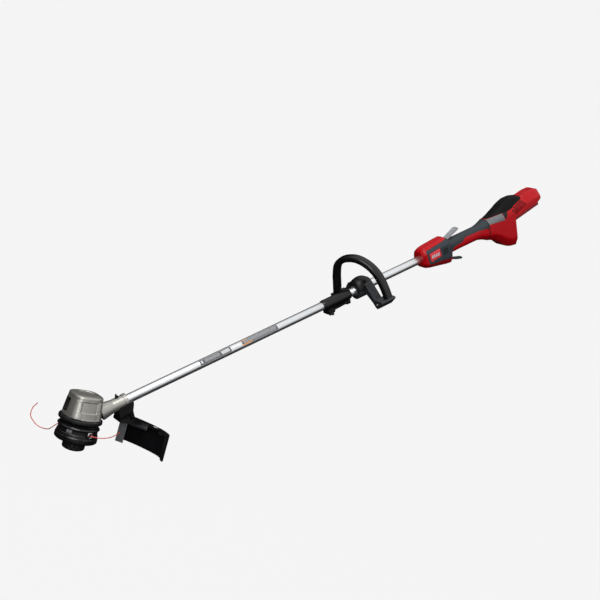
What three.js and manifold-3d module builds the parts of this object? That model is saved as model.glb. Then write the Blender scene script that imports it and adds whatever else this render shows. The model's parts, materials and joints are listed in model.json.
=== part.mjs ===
// Cordless string trimmer: motor and spool at the front, two-piece boom, loop handle, rear grip.
// Millimetres, +Z up. The spool axis is Z and the bump knob stands on Z = 0.
// Boom parts are built in the boom frame: X runs along the boom away from the spool axis,
// Y to the operator's right, Z out of the top of the boom.
import * as THREE from 'three';
import { mergeVertices } from 'three/addons/utils/BufferGeometryUtils.js';
import Module from 'manifold-3d';

const wasm = await Module();
wasm.setup();

// Driving dimensions
const GAP = 0.3;                 // air between touching pieces
const SHAFT_TILT = 32 * Math.PI / 180;
const CROSS_HEIGHT = 72;         // boom axis meets the spool axis here
const TUBE_R = 12.7;
const TUBE_WALL = 1.5;
const LOWER_START = 84;
const TUBE_JOINT = 850;
const UPPER_END = 1240;
const SLEEVE_START = 795;
const SLEEVE_END = 896;
const CLAMP_START = 915;
const CLAMP_END = 973;
const HANDLE_YAW = 20 * Math.PI / 180;
const SEAM = 1470;               // front housing meets rear housing
const WALL = 4.2;
const SKIN = 2.2;
const HOUSING_BASE = 88;
const HOUSING_TOP = 150;
const LINE_R = 1.2;
const LINE_HEIGHT = 54;
const DRUM_R = 54;
const KNOB_R = 29.5;
const BUMP_TRAVEL = 6;
const EYELET_ANGLE = -80 * Math.PI / 180;

const COLOURS = {
  metal: 0xa9a7a0, tube: 0xd9dde0, black: 0x141517, charcoal: 0x3b4248, red: 0xc3121d,
  steel: 0x8d9094, copper: 0xb06a3a, grey: 0x77797c, line: 0xd9695f, brass: 0xb99b5a, green: 0x2c6b45,
};

const group = new THREE.Group();
group.name = 'string_trimmer';
const boom = new THREE.Group();
boom.name = 'boom_frame';
boom.position.set(0, 0, CROSS_HEIGHT);
boom.rotation.y = -SHAFT_TILT;
boom.updateMatrix();
group.add(boom);

// Solid helpers
function solid(geometry) {
  const g = geometry.index ? geometry.toNonIndexed() : geometry.clone();
  g.deleteAttribute('normal');
  g.deleteAttribute('uv');
  const m = mergeVertices(g, 1e-4);
  const p = m.attributes.position;
  const tri = Array.from(m.index.array);
  const kept = [];
  for (let i = 0; i < tri.length; i += 3) {
    const [a, b, c] = [tri[i], tri[i + 1], tri[i + 2]];
    if (a !== b && b !== c && a !== c) kept.push(a, b, c);
  }
  if (signedVolume(p, kept) < 0) {
    for (let i = 0; i < kept.length; i += 3) {
      [kept[i], kept[i + 1]] = [kept[i + 1], kept[i]];
    }
  }
  return new wasm.Manifold(new wasm.Mesh({
    numProp: 3, vertProperties: new Float32Array(p.array), triVerts: new Uint32Array(kept),
  }));
}

function signedVolume(p, tri) {
  const [a, b, c] = [new THREE.Vector3(), new THREE.Vector3(), new THREE.Vector3()];
  let v = 0;
  for (let i = 0; i < tri.length; i += 3) {
    a.fromBufferAttribute(p, tri[i]);
    b.fromBufferAttribute(p, tri[i + 1]);
    c.fromBufferAttribute(p, tri[i + 2]);
    v += a.dot(b.cross(c));
  }
  return v;
}

function toGeometry(m) {
  const mesh = m.getMesh();
  const g = new THREE.BufferGeometry();
  const n = mesh.numProp;
  const pos = new Float32Array(mesh.vertProperties.length / n * 3);
  for (let i = 0; i < pos.length / 3; i++) {
    for (let k = 0; k < 3; k++) pos[3 * i + k] = mesh.vertProperties[n * i + k];
  }
  g.setAttribute('position', new THREE.BufferAttribute(pos, 3));
  g.setIndex(Array.from(mesh.triVerts));
  g.computeVertexNormals();
  return g;
}

const join = (...s) => s.reduce((a, b) => a.add(b));
const cut = (a, ...s) => s.reduce((x, y) => x.subtract(y), a);
const common = (a, b) => a.intersect(b);

function add(name, shape, colour, parent = group) {
  const g = shape.isBufferGeometry ? toGeometry(solid(shape)) : toGeometry(shape);
  const metal = ['metal', 'tube', 'steel', 'copper', 'brass'].includes(colour);
  const mesh = new THREE.Mesh(g, new THREE.MeshStandardMaterial({
    color: COLOURS[colour], metalness: metal ? 0.8 : 0, roughness: metal ? 0.4 : 0.6,
  }));
  mesh.name = name;
  parent.add(mesh);
  return mesh;
}

function box(x0, x1, y0, y1, z0, z1) {
  const g = new THREE.BoxGeometry(x1 - x0, y1 - y0, z1 - z0);
  g.translate((x0 + x1) / 2, (y0 + y1) / 2, (z0 + z1) / 2);
  return solid(g);
}

// Round bar between two points.
function bar(a, b, r0, r1 = r0, segments = 24) {
  const from = new THREE.Vector3(...a);
  const to = new THREE.Vector3(...b);
  const dir = to.clone().sub(from);
  const g = new THREE.CylinderGeometry(r1, r0, dir.length(), segments);
  g.applyQuaternion(new THREE.Quaternion().setFromUnitVectors(
    new THREE.Vector3(0, 1, 0), dir.clone().normalize()));
  g.translate(...from.add(to).multiplyScalar(0.5).toArray());
  return solid(g);
}

// Solid of revolution about Z from [radius, height] points.
function turned(points, segments = 36) {
  const g = new THREE.LatheGeometry(points.map(([r, h]) => new THREE.Vector2(r, h)), segments);
  g.rotateX(Math.PI / 2);
  return solid(g);
}

function ring(rInner, rOuter, z0, z1, segments = 36) {
  return turned([[rInner, z0], [rOuter, z0], [rOuter, z1], [rInner, z1], [rInner, z0]], segments);
}

// Straight prism: a closed outline in the XY plane, raised from z0 to z1.
function raised(outline, z0, z1) {
  const shape = new THREE.Shape(outline.map(([x, y]) => new THREE.Vector2(x, y)));
  const g = new THREE.ExtrudeGeometry(shape, { depth: z1 - z0, bevelEnabled: false });
  g.translate(0, 0, z0);
  return solid(g);
}

// Side-profile prism: a closed outline in the XZ plane, running from y0 to y1.
function sideways(outline, y0, y1) {
  const shape = new THREE.Shape(outline.map(([x, z]) => new THREE.Vector2(x, z)));
  const g = new THREE.ExtrudeGeometry(shape, { depth: y1 - y0, bevelEnabled: false });
  g.rotateX(Math.PI / 2);
  g.translate(0, y1, 0);
  return solid(g);
}

// Tube of any section swept along a smooth path through points.
function swept(points, section, steps, closed = false) {
  const path = new THREE.CatmullRomCurve3(points.map(p => new THREE.Vector3(...p)), closed, 'centripetal');
  const shape = new THREE.Shape(section.map(([x, y]) => new THREE.Vector2(x, y)));
  return solid(new THREE.ExtrudeGeometry(shape, { steps, bevelEnabled: false, extrudePath: path }));
}

function oval(rx, ry, n = 16) {
  return Array.from({ length: n }, (_, i) => {
    const a = 2 * Math.PI * i / n;
    return [rx * Math.cos(a), ry * Math.sin(a)];
  });
}

// Skin through a list of equal-length rings of points, closed by a fan at each end.
function skinned(rings) {
  const n = rings[0].length;
  const pos = rings.flat().flat();
  const idx = [];
  for (let s = 0; s < rings.length - 1; s++) {
    for (let i = 0; i < n; i++) {
      const j = (i + 1) % n;
      const [a, b, c, d] = [s * n + i, s * n + j, (s + 1) * n + j, (s + 1) * n + i];
      idx.push(a, b, c, a, c, d);
    }
  }
  for (const [s, flip] of [[0, true], [rings.length - 1, false]]) {
    const centre = pos.length / 3;
    const mid = [0, 1, 2].map(k => rings[s].reduce((t, p) => t + p[k], 0) / n);
    pos.push(...mid);
    for (let i = 0; i < n; i++) {
      const j = (i + 1) % n;
      if (flip) idx.push(centre, s * n + j, s * n + i);
      else idx.push(centre, s * n + i, s * n + j);
    }
  }
  const g = new THREE.BufferGeometry();
  g.setAttribute('position', new THREE.Float32BufferAttribute(pos, 3));
  g.setIndex(idx);
  return solid(g);
}

// Rounded-square ring at height z with half side a.
function squircle(a, z, n = 32) {
  return Array.from({ length: n }, (_, i) => {
    const t = 2 * Math.PI * i / n;
    const [c, s] = [Math.cos(t), Math.sin(t)];
    return [a * Math.sign(c) * Math.abs(c) ** (2 / 3), a * Math.sign(s) * Math.abs(s) ** (2 / 3), z];
  });
}

// One housing section across the boom: an eight-sided outline with softened corners.
// station = [along, halfWidth, top, bottom, topHalf, bottomHalf, sideTop, sideBottom, softness]
function section(station, inset = 0, along = station[0]) {
  const [, w, top, bot, topHalf, botHalf, sideTop, sideBot, soft] = station;
  const k = inset * 0.6;
  const corners = [
    [botHalf - k, bot + inset], [w - inset, sideBot + k], [w - inset, sideTop - k], [topHalf - k, top - inset],
    [-topHalf + k, top - inset], [-w + inset, sideTop - k], [-w + inset, sideBot + k], [-botHalf + k, bot + inset],
  ];
  const out = [];
  corners.forEach((p, i) => {
    const q = corners[(i + 7) % 8];
    const r = corners[(i + 1) % 8];
    const a = [0, 1].map(d => p[d] + (q[d] - p[d]) * soft * 0.8);
    const b = [0, 1].map(d => p[d] + (r[d] - p[d]) * soft * 0.8);
    out.push([along, ...a], [along, ...b]);
  });
  return out;
}

function loft(stations, inset = 0, startInset = 0, endInset = 0) {
  const last = stations.length - 1;
  return skinned(stations.map((s, i) => section(
    s, inset, s[0] + (i === 0 ? startInset : 0) - (i === last ? endInset : 0))));
}

const BIG = 400;
const leftHalf = () => box(0, 2000, -BIG, -GAP / 2, -BIG, BIG);
const rightHalf = () => box(0, 2000, GAP / 2, BIG, -BIG, BIG);
// Outline moved outwards by d all round, with mitred corners.
function grown(outline, d) {
  const turn = outline.reduce((t, [x, y], i) => {
    const [u, w] = outline[(i + 1) % outline.length];
    return t + x * w - u * y;
  }, 0);
  const normal = ([x, y], [u, w]) => new THREE.Vector2(w - y, x - u).normalize().multiplyScalar(Math.sign(turn));
  return outline.map((p, i) => {
    const before = normal(outline[(i + outline.length - 1) % outline.length], p);
    const after = normal(p, outline[(i + 1) % outline.length]);
    const k = d / (1 + before.dot(after));
    return [p[0] + k * (before.x + after.x), p[1] + k * (before.y + after.y)];
  });
}

// A solid made in the boom frame, seen from the spool frame, and the reverse.
const boomMatrix = boom.matrix.clone();
const toSpoolFrame = m => m.transform(boomMatrix.toArray());

// ---- Motor head ----
const neckCone = toSpoolFrame(join(
  bar([56, 0, 0], [94, 0, 0], 24.5, 17.6, 28),
  bar([94, 0, 0], [130, 0, 0], 17.6, 17.6, 28),
  bar([127, 0, 0], [137, 0, 0], 19, 19, 28)));
const neckBore = toSpoolFrame(bar([LOWER_START - GAP, 0, 0], [150, 0, 0], TUBE_R + GAP, TUBE_R + GAP, 28));
const neckWireway = toSpoolFrame(bar([40, 0, 0], [LOWER_START, 0, 0], 8, 8, 24));
const belowBase = box(-100, 300, -100, 100, -50, HOUSING_BASE);

const caseOuter = skinned([
  squircle(47, HOUSING_BASE), squircle(46.5, HOUSING_BASE + 3), squircle(40.6, 140),
  squircle(38.6, 145), squircle(34.5, 148.5), squircle(28, HOUSING_TOP),
]);
const caseInner = skinned([
  squircle(44, HOUSING_BASE - 5), squircle(43.6, HOUSING_BASE + 3), squircle(38, 138), squircle(34, 145),
]);
const statorSeat = ring(39 + GAP, 60, 94, 124, 36);
const topDish = turned([[0, 147.5], [23, 147.5], [26, 152], [0, 152]], 40);
// Sector of the case wall between two angles, which may close up towards the top.
function sector(z0, [from0, to0], z1, [from1, to1]) {
  const at = (r, deg, z) => [r * Math.cos(deg * Math.PI / 180), r * Math.sin(deg * Math.PI / 180), z];
  return skinned([[z0, from0, to0], [z1, from1, to1]].map(([z, a, b]) =>
    [at(30, a, z), at(75, a, z), at(75, b, z), at(30, b, z)]));
}
const ribSkin = skinned([
  squircle(49.9, HOUSING_BASE + 2), squircle(49.5, HOUSING_BASE + 7), squircle(44.4, 136),
]);
const ribs = [
  sector(HOUSING_BASE + 2, [-146, -116], 136, [-142, -127]),
  sector(HOUSING_BASE + 2, [-61, -54], 136, [-61, -57]),
  sector(HOUSING_BASE + 2, [54, 61], 136, [57, 61]),
].map(wedge => common(ribSkin, wedge));
const VENT_TURN = -32;
const ventWindow = box(-60, -30, -24, 24, 97, 132).rotate([0, 0, VENT_TURN]);
const panelFloor = skinned([squircle(45.5, HOUSING_BASE), squircle(39.1, 141)]);
const panelRecess = [[-122, -66], [66, 112]].map(span => cut(sector(109, span, 135, span), panelFloor));
const bearingBoss = join(ring(11.3, 15, 134, 146, 20), turned([[0, 143.8], [15, 143.8], [15, 146], [0, 146]], 20));
const motorHousing = join(cut(
  join(caseOuter, neckCone, ...ribs), cut(caseInner, statorSeat), neckBore, neckWireway, topDish, belowBase,
  ventWindow, ...panelRecess, toSpoolFrame(bar([113, 0, 10], [113, 0, 30], 2.4, 2.4, 12))), bearingBoss);
add('motor_housing', motorHousing, 'metal');

const ventSlots = Array.from({ length: 6 }, (_, i) =>
  box(-60, -30, -20 + i * 7, -16 + i * 7, 101, 128).rotate([0, 0, VENT_TURN]));
const ventPlate = common(
  skinned([squircle(48, HOUSING_BASE), squircle(41.5, 141)]),
  box(-60, -36, -24 + GAP, 24 - GAP, 97 + GAP, 132 - GAP).rotate([0, 0, VENT_TURN]));
const ventBack = skinned([squircle(43.4, HOUSING_BASE), squircle(37.4, 141)]);
add('vent_grille', cut(ventPlate, ventBack, ...ventSlots), 'black');

const baseTop = HOUSING_BASE - GAP;
const baseRing = cut(
  turned([[0, 76], [52, 76], [57, 79], [57, 86], [54, baseTop], [0, baseTop]], 36),
  turned([[0, 70], [7, 70], [7, 79.7], [11.3, 79.7], [11.3, 90], [0, 90]], 20),
  ring(17, 46, 79, 90, 28),
  turned([[0, 75], [30, 75], [30, 77.5], [0, 77.5]], 24));
add('motor_base', baseRing, 'black');

add('lower_bearing', ring(5.3, 11, 80, baseTop, 20), 'steel');
add('upper_bearing', ring(5.3, 11, 136.5, 143.5, 20), 'steel');
const statorTeeth = Array.from({ length: 9 }, (_, i) => box(20, 33, -2.5, 2.5, 96, 122).rotate([0, 0, 40 * i]));
add('stator_core', join(ring(32, 39, 96, 122, 36), ...statorTeeth), 'steel');
add('stator_windings', join(ring(20.5, 30, 90.5, 95.7, 24), ring(20.5, 30, 122.3, 127.5, 24),
  ...[0, 1, 2].map(i => box(23, 28, -2, 2, 95, 123).rotate([0, 0, 20 + 120 * i]))), 'copper');
add('rotor_core', ring(5 + GAP, 19, 94, 124, 24), 'steel');
const spindle = turned([
  [0, 58.5], [4.2, 58.5], [4.2, 75.3], [5, 75.3], [5, 142], [0, 142],
], 24);
add('motor_spindle', spindle, 'steel');
const fanBlades = Array.from({ length: 7 }, (_, i) => box(8, 27, -0.8, 0.8, 128, 131.5).rotate([0, 0, 360 * i / 7]));
add('cooling_fan', join(ring(5 + GAP, 10, 128, 131.5, 20), ring(25, 27.5, 128, 129.2, 28), ...fanBlades), 'black');

// ---- Spool head ----
const eyeletDir = [Math.cos(EYELET_ANGLE), Math.sin(EYELET_ANGLE)];
const along = (r, z, side = 1) => [side * r * eyeletDir[0], side * r * eyeletDir[1], z];
const eyeletHole = side => bar(along(38, LINE_HEIGHT, side), along(62, LINE_HEIGHT, side), 8.6, 8.6, 20);
const drumWindows = Array.from({ length: 6 }, (_, i) => i).filter(i => i % 3 !== 0).map(i =>
  box(44, 60, -8, 8, 51, 60).rotate([0, 0, -80 + 60 * i]));
const drumOuter = turned([
  [0, 47.3], [53.5, 47.3], [51.5, 49], [51.5, 60], [DRUM_R + 1, 63], [DRUM_R + 0.5, 66], [44, 73], [30, 75], [0, 75],
], 32);
const drumInner = turned([[0, 40], [48.2, 40], [48.2, 64.5], [0, 64.5]], 32);
const eyeletBoss = [1, -1].map(s => bar(along(40, LINE_HEIGHT, s), along(55.5, LINE_HEIGHT, s), 11, 11, 20));
add('spool_housing', cut(
  join(drumOuter, ...eyeletBoss.map(b => common(b, box(-70, 70, -70, 70, 47.3, 75)))),
  drumInner, bar([0, 0, 40], [0, 0, 80], 4.5, 4.5, 24), ...drumWindows, eyeletHole(1), eyeletHole(-1)), 'black');
const nutBore = bar([0, 0, 50], [0, 0, 70], 4.5, 4.5, 24);
add('drive_nut', cut(bar([0, 0, 58.8], [0, 0, 64.2], 7.5, 7.5, 6), nutBore), 'steel');

const capOuter = turned([
  [0, 21], [38, 21], [46, 24], [DRUM_R + 1.5, 28], [DRUM_R + 1.5, 40], [DRUM_R - 0.5, 47], [0, 47],
], 32);
const gripFlutes = Array.from({ length: 8 }, (_, i) => box(54, 60, -4, 4, 20, 50).rotate([0, 0, 45 * i + 32]));
add('spool_cover', cut(capOuter,
  turned([[0, 25], [48.2, 30], [48.2, 50], [0, 50]], 32),
  bar([0, 0, 10], [0, 0, 60], KNOB_R + 1, KNOB_R + 1, 32), ...gripFlutes, eyeletHole(1), eyeletHole(-1)), 'black');
for (const [side, label] of [[1, 'left'], [-1, 'right']]) {
  const outerRing = bar(along(47.5, LINE_HEIGHT, side), along(57.5, LINE_HEIGHT, side), 8.3, 8.3, 20);
  const bore = bar(along(40, LINE_HEIGHT, side), along(62, LINE_HEIGHT, side), 4.6, 4.6, 16);
  add(`eyelet_${label}`, cut(outerRing, bore), 'steel');
}

const knobFlutes = Array.from({ length: 8 }, (_, i) =>
  bar([KNOB_R + 1.2, 0, 3], [KNOB_R + 1.2, 0, 18], 3, 3, 6).rotate([0, 0, 45 * i]));
const knobTop = 34;
add('bump_knob', cut(
  turned([[0, 0], [22, 0], [27.5, 3], [KNOB_R, 6], [KNOB_R, knobTop], [0, knobTop]], 32),
  turned([[0, 6], [24, 6], [25, 40], [0, 40]], 28), ...knobFlutes)
  .add(ring(8, 12.5, 4, knobTop + 22, 24)), 'black');
const spoolTop = 58;
const spoolFoot = knobTop + GAP;
add('line_spool', turned([
  [12.8, spoolFoot], [45, spoolFoot], [45, spoolFoot + 2], [17, spoolFoot + 2], [17, spoolTop - 2],
  [45, spoolTop - 2], [45, spoolTop], [12.8, spoolTop], [12.8, spoolFoot],
]), 'charcoal');
add('wound_line', ring(17 + GAP, 36, spoolFoot + 2 + GAP, spoolTop - 2 - GAP, 24), 'line');
const springPath = Array.from({ length: 61 }, (_, i) => {
  const a = i / 60 * 2 * Math.PI * 5;
  return [6 * Math.cos(a), 6 * Math.sin(a), 7.1 + i / 60 * 50.3];
});
add('bump_spring', swept(springPath, oval(0.8, 0.8, 5), 64), 'steel');

// Trimmer line: each free tail leaves its eyelet and curls under its own set.
const lineSection = oval(LINE_R, LINE_R, 8);
add('cutting_line_left', swept([
  along(50, LINE_HEIGHT), along(57.5, LINE_HEIGHT), [22, -64, LINE_HEIGHT], [37, -66.5, LINE_HEIGHT],
  [69, -52, LINE_HEIGHT],
  [93, -31, LINE_HEIGHT], [127, 4, LINE_HEIGHT],
], lineSection, 22), 'line');
add('cutting_line_right', swept([
  along(50, LINE_HEIGHT, -1), along(58, LINE_HEIGHT, -1), [-27, 59, 46], [-48, 46, 38], [-68, 18, 42],
  [-87, -10, 49], [-104, -20, 53], [-118, -14, 57], [-125, 2, 64], [-124, 24, 70], [-106, 62, 78], [-73, 110, 80],
], lineSection, 32), 'line');

// ---- Guard ----
const bracketOutline = [
  [95, 112], [97, 126], [127, 148.5], [131, 140], [134, 122], [143, 106], [168, 94], [168, 90.3],
  [104, 90.3], [100, 104],
];
const saddle = sideways(bracketOutline, -19, 19);
const neckRoom = toSpoolFrame(join(
  bar([60, 0, 0], [94, 0, 0], 24.4, 18, 28), bar([94, 0, 0], [137.4, 0, 0], 18, 18, 28),
  bar([126.6, 0, 0], [137.4, 0, 0], 19.4, 19.4, 28), bar([130, 0, 0], [170, 0, 0], TUBE_R + GAP, TUBE_R + GAP, 28)));
const bracketHollow = sideways([[112, 94], [138, 94], [129, 112], [118, 112]], -30, -15);
add('guard_bracket', cut(saddle, neckRoom, bracketHollow, bracketHollow.mirror([0, 1, 0]),
  bar([118, -11, 80], [118, -11, 98], 1.8, 1.8, 16), bar([118, 11, 80], [118, 11, 98], 1.8, 1.8, 16),
  toSpoolFrame(bar([116, 0, -40], [116, 0, 0], 2.4, 2.4, 12))), 'black');

const guardWall = [
  [188, -120], [202, -113], [210, -98], [213, -72], [209, -44], [200, -14], [189, 14], [176, 40], [160, 64],
];
const guardFront = [[136, 47], [186, -25]];
function thickLine(points, t) {
  const v = points.map(([x, y]) => new THREE.Vector2(x, y));
  const normalAt = i => {
    const a = v[Math.max(i - 1, 0)];
    const b = v[Math.min(i + 1, v.length - 1)];
    const d = b.clone().sub(a).normalize();
    return new THREE.Vector2(-d.y, d.x);
  };
  const inner = v.map((p, i) => p.clone().addScaledVector(normalAt(i), t));
  return [...v, ...inner.reverse()].map(p => [p.x, p.y]);
}
const deckOutline = [...guardWall, ...[
  [136, 47], [110, 34], [104, 20], [104, -20], [168, -21], [184, -30], [196, -62], [196, -98], [187, -112],
]];
const skirt = raised(thickLine(guardWall, 3), 20, 90);
const strip = raised(thickLine(guardFront, 3), 72, 90);
const guardRibs = [[[209, -86], [194, -72]], [[198, -15], [160, 10]]].map(r => raised(thickLine(r, 2), 78, 88));
const screwHoles = [[118, -11], [118, 11]].map(([x, y]) => bar([x, y, 80], [x, y, 95], 2.3, 2.3, 16));
// Points on the strip: s along it, d behind its front face.
const onStrip = (s, d, z) => {
  const [[x0, y0], [x1, y1]] = guardFront;
  const len = Math.hypot(x1 - x0, y1 - y0);
  const [ux, uy] = [(x1 - x0) / len, (y1 - y0) / len];
  return [x0 + ux * s - uy * d, y0 + uy * s + ux * d, z];
};
const bladeMid = 15.5;
const boltHole = bar(onStrip(bladeMid, -8, 80), onStrip(bladeMid, 12, 80), 2.3, 2.3, 16);
add('guard', cut(join(raised(deckOutline, 86, 90), skirt, strip, ...guardRibs), ...screwHoles, boltHole), 'black');
const bladePlan = [[4, 3.3], [27, 3.3], [27, 4.9], [4, 4.9]].map(([a, d]) => onStrip(a, d, 0).slice(0, 2));
add('cutter_blade', cut(raised(bladePlan, 17, 85), boltHole), 'steel');
add('blade_screw', join(bar(onStrip(bladeMid, -3.5, 80), onStrip(bladeMid, -GAP, 80), 4.2, 4.2, 14),
  bar(onStrip(bladeMid, -1, 80), onStrip(bladeMid, 8, 80), 2, 2, 10)), 'steel');
for (const [y, label] of [[-11, 'left'], [11, 'right']]) {
  add(`guard_screw_${label}`, join(bar([118, y, 82.7], [118, y, 85.7], 4, 4, 14),
    bar([118, y, 85], [118, y, 97.5], 1.5, 1.5, 12)), 'steel');
}

// ---- Boom ----
const pipe = (t0, t1, rOut, rIn, segments = 28) => cut(
  bar([t0, 0, 0], [t1, 0, 0], rOut, rOut, segments), bar([t0 - 1, 0, 0], [t1 + 1, 0, 0], rIn, rIn, segments));
const tubeIn = TUBE_R - TUBE_WALL;
const BUTTON_AT = 906;
add('neck_screw', join(bar([113, 0, 13.4], [113, 0, 19], 2, 2, 10), bar([113, 0, 18], [113, 0, 22], 5, 4.4, 20),
  sideways([[110, 21], [111, 28], [114, 28], [116, 21]], -1.5, 1.5)), 'black', boom);
add('lower_shaft', pipe(LOWER_START, TUBE_JOINT - GAP / 2, TUBE_R, tubeIn), 'tube', boom);
add('upper_shaft', cut(pipe(TUBE_JOINT + GAP / 2, UPPER_END, TUBE_R, tubeIn),
  bar([BUTTON_AT, -20, 0], [BUTTON_AT, 0, 0], 4.3, 4.3, 20)), 'tube', boom);
add('lower_harness', join(bar([70, 0, 0], [830, 0, 0], 3, 3, 12),
  bar([826, 0, 0], [TUBE_JOINT - GAP / 2, 0, 0], tubeIn - GAP, tubeIn - GAP, 16)), 'black', boom);
add('upper_harness', join(bar([TUBE_JOINT + GAP / 2, 0, 0], [874, 0, 0], tubeIn - GAP, tubeIn - GAP, 16),
  bar([870, 0, 0], [1258, 0, 0], 3, 3, 12)), 'black', boom);
add('snap_button', join(bar([BUTTON_AT, -15.6, 0], [BUTTON_AT, -8.9, 0], 4, 4, 14),
  bar([BUTTON_AT, -10.2, 0], [BUTTON_AT, -8.9, 0], 4.6, 4.6, 14)), 'steel', boom);
add('snap_spring', raised([
  [878, -10.3], [890, -10.3], [901, -8.6], [911, -8.6], [911, -7.8], [900, -7.8], [889, -9.5], [878, -9.5],
], -3, 3), 'steel', boom);

const sleeveBore = bar([SLEEVE_START - 5, 0, 0], [SLEEVE_END + 5, 0, 0], TUBE_R + GAP, TUBE_R + GAP, 28);
const flange = join(sideways([
  [799, -10], [799, -27], [806, -31], [824, -31], [832, -26], [872, -24], [878, -28], [892, -28], [892, -10],
], -8, 8), bar([885, -10.5, -21], [885, 10.5, -21], 5, 5, 16));
const KNOB_AT = [812, -22];
const crossHole = ([t, v], r) => bar([t, -40, v], [t, 40, v], r, r, 20);
add('coupler_sleeve', cut(
  join(bar([SLEEVE_START, 0, 0], [SLEEVE_START + 3, 0, 0], 15.2, 16.2, 28),
    bar([SLEEVE_START + 3, 0, 0], [SLEEVE_END - 3, 0, 0], 16.2, 16.2, 28),
    bar([SLEEVE_END - 3, 0, 0], [SLEEVE_END, 0, 0], 16.2, 15.2, 28), flange),
  sleeveBore, box(790, 868, -1.4, 1.4, -40, -11), crossHole(KNOB_AT, 3.3)), 'black', boom);
const lobes = Array.from({ length: 5 }, (_, i) => {
  const a = 2 * Math.PI * i / 5;
  const [t, v] = [KNOB_AT[0] + 8 * Math.cos(a), KNOB_AT[1] + 8 * Math.sin(a)];
  return bar([t, -20, v], [t, -14, v], 4.2, 4.2, 10);
});
add('coupler_knob', join(bar([KNOB_AT[0], -19, KNOB_AT[1]], [KNOB_AT[0], -9.8, KNOB_AT[1]], 8.5, 8.5, 24), ...lobes,
  bar([KNOB_AT[0], -10, KNOB_AT[1]], [KNOB_AT[0], -8 - GAP, KNOB_AT[1]], 5, 5, 16),
  bar([KNOB_AT[0], -12, KNOB_AT[1]], [KNOB_AT[0], 8, KNOB_AT[1]], 3, 3, 12)), 'black', boom);

// ---- Loop handle ----
const clampMid = (CLAMP_START + CLAMP_END) / 2;
const linerR = TUBE_R + GAP + 2.5;
const linerRoom = bar([CLAMP_START - 5, 0, 0], [CLAMP_END + 5, 0, 0], linerR + GAP, linerR + GAP, 28);
add('clamp_liner', pipe(CLAMP_START, CLAMP_END, linerR, TUBE_R + GAP), 'grey', boom);

const FOOT_TOP = -24;
const armOutline = [
  [10, 0], [22, 20], [30, 19], [64, -24], [97, FOOT_TOP], [98, -30], [74, -52], [66, -49], [56, -36], [24, -8],
  [16, -22],
];
const footOutline = [[62, FOOT_TOP], [97, FOOT_TOP], [98, -30], [74, -52], [66, -49], [58, -38]];
// An outline across the boom, [sideways distance, height], on one side, between two stations along it.
function acrossBoom(outline, side, t0, t1) {
  const shape = new THREE.Shape(outline.map(([c, v]) => new THREE.Vector2(side * c, v)));
  const g = new THREE.ExtrudeGeometry(shape, { depth: t1 - t0, bevelEnabled: false });
  g.rotateX(Math.PI / 2);
  g.rotateZ(Math.PI / 2);
  g.translate(t0, 0, 0);
  return solid(g);
}
const boltSpots = [-1, 1].map(side => [clampMid, side * 21.5]);
const lowerHalf = common(bar([CLAMP_START + 2, 0, 0], [CLAMP_END - 2, 0, 0], 27, 27, 32),
  box(0, 2000, -60, 60, -60, -GAP / 2));
const footScrewHole = (side, t) => bar([t - 5, side * 76, -37], [t + 24, side * 76, -37], 2.2, 2.2, 16);
const nearArm = join(acrossBoom(armOutline, -1, 938, 966), acrossBoom(footOutline, -1, 938, 992));
const farArm = join(acrossBoom(armOutline, 1, 920, 948), acrossBoom(footOutline, 1, 896, 948));
const capStations = [[915, 21, 23], [921, 26, 31], [938, 27.5, 37], [956, 26.5, 35], [973, 22, 25]];
const capRings = (grow, from) => capStations.map(([t, w, h]) => Array.from({ length: 13 }, (_, i) => {
  const a = Math.PI * i / 12;
  return [t, (w + grow) * Math.cos(a), from + (h + grow) * Math.sin(a) ** 0.8];
}));
const capSolid = skinned(capRings(0, GAP / 2));
const capRoom = join(skinned(capRings(GAP, -GAP / 2)), box(912, 976, -21, 21, -GAP / 2, 22));
const baseArms = cut(join(nearArm, farArm), capRoom, box(900, 990, -14, 14, -60, 60));
// Clearance for a bolt shank from height v0, opening out for its head at v1.
const boltRoom = ([t, c], v0, v1, headR) => join(
  bar([t, c, v0], [t, c, 20], 2.4, 2.4, 12), bar([t, c, v1], [t, c, 40], headR, headR, 14));
add('handle_base', cut(
  join(lowerHalf, baseArms), linerRoom, footScrewHole(-1, 938), footScrewHole(1, 896),
  ...boltSpots.map(spot => boltRoom(spot, -40, 11.5, 4.8))), 'black', boom);
add('handle_cap', cut(capSolid, linerRoom, ...boltSpots.map(spot => boltRoom(spot, -5, 12, 4.6))), 'black', boom);
for (const [i, label] of [[0, 'left'], [1, 'right']]) {
  const [t, c] = boltSpots[i];
  add(`clamp_bolt_${label}`, join(bar([t, c, -14], [t, c, 13], 2, 2, 10), bar([t, c, 12.3], [t, c, 16], 4.2, 4.2, 14)),
    'steel', boom);
}
const loopPath = [
  [-90, -32], [-88, -14], [-84, 12], [-79, 42], [-68, 73], [-47, 89], [-21, 95], [2, 94], [24, 86], [44, 73],
  [61, 55], [73, 34], [82, 9], [88, -16], [91, -32],
].map(([d, v]) => [0, -d, v]);
const gripSection = oval(16, 10.5, 12);
const loopRaw = swept(loopPath, gripSection, 34)
  .rotate([0, 0, HANDLE_YAW * 180 / Math.PI]).translate([clampMid, 0, 0]);
add('handle_loop', cut(loopRaw, box(800, 1100, -200, 200, -80, FOOT_TOP + GAP)), 'black', boom);
for (const [side, t, label] of [[-1, 938, 'left'], [1, 896, 'right']]) {
  add(`handle_screw_${label}`, join(bar([t - 3.2, side * 76, -37], [t - GAP, side * 76, -37], 4, 4, 14),
    bar([t - 1, side * 76, -37], [t + 20, side * 76, -37], 1.9, 1.9, 10)), 'steel', boom);
}

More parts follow.
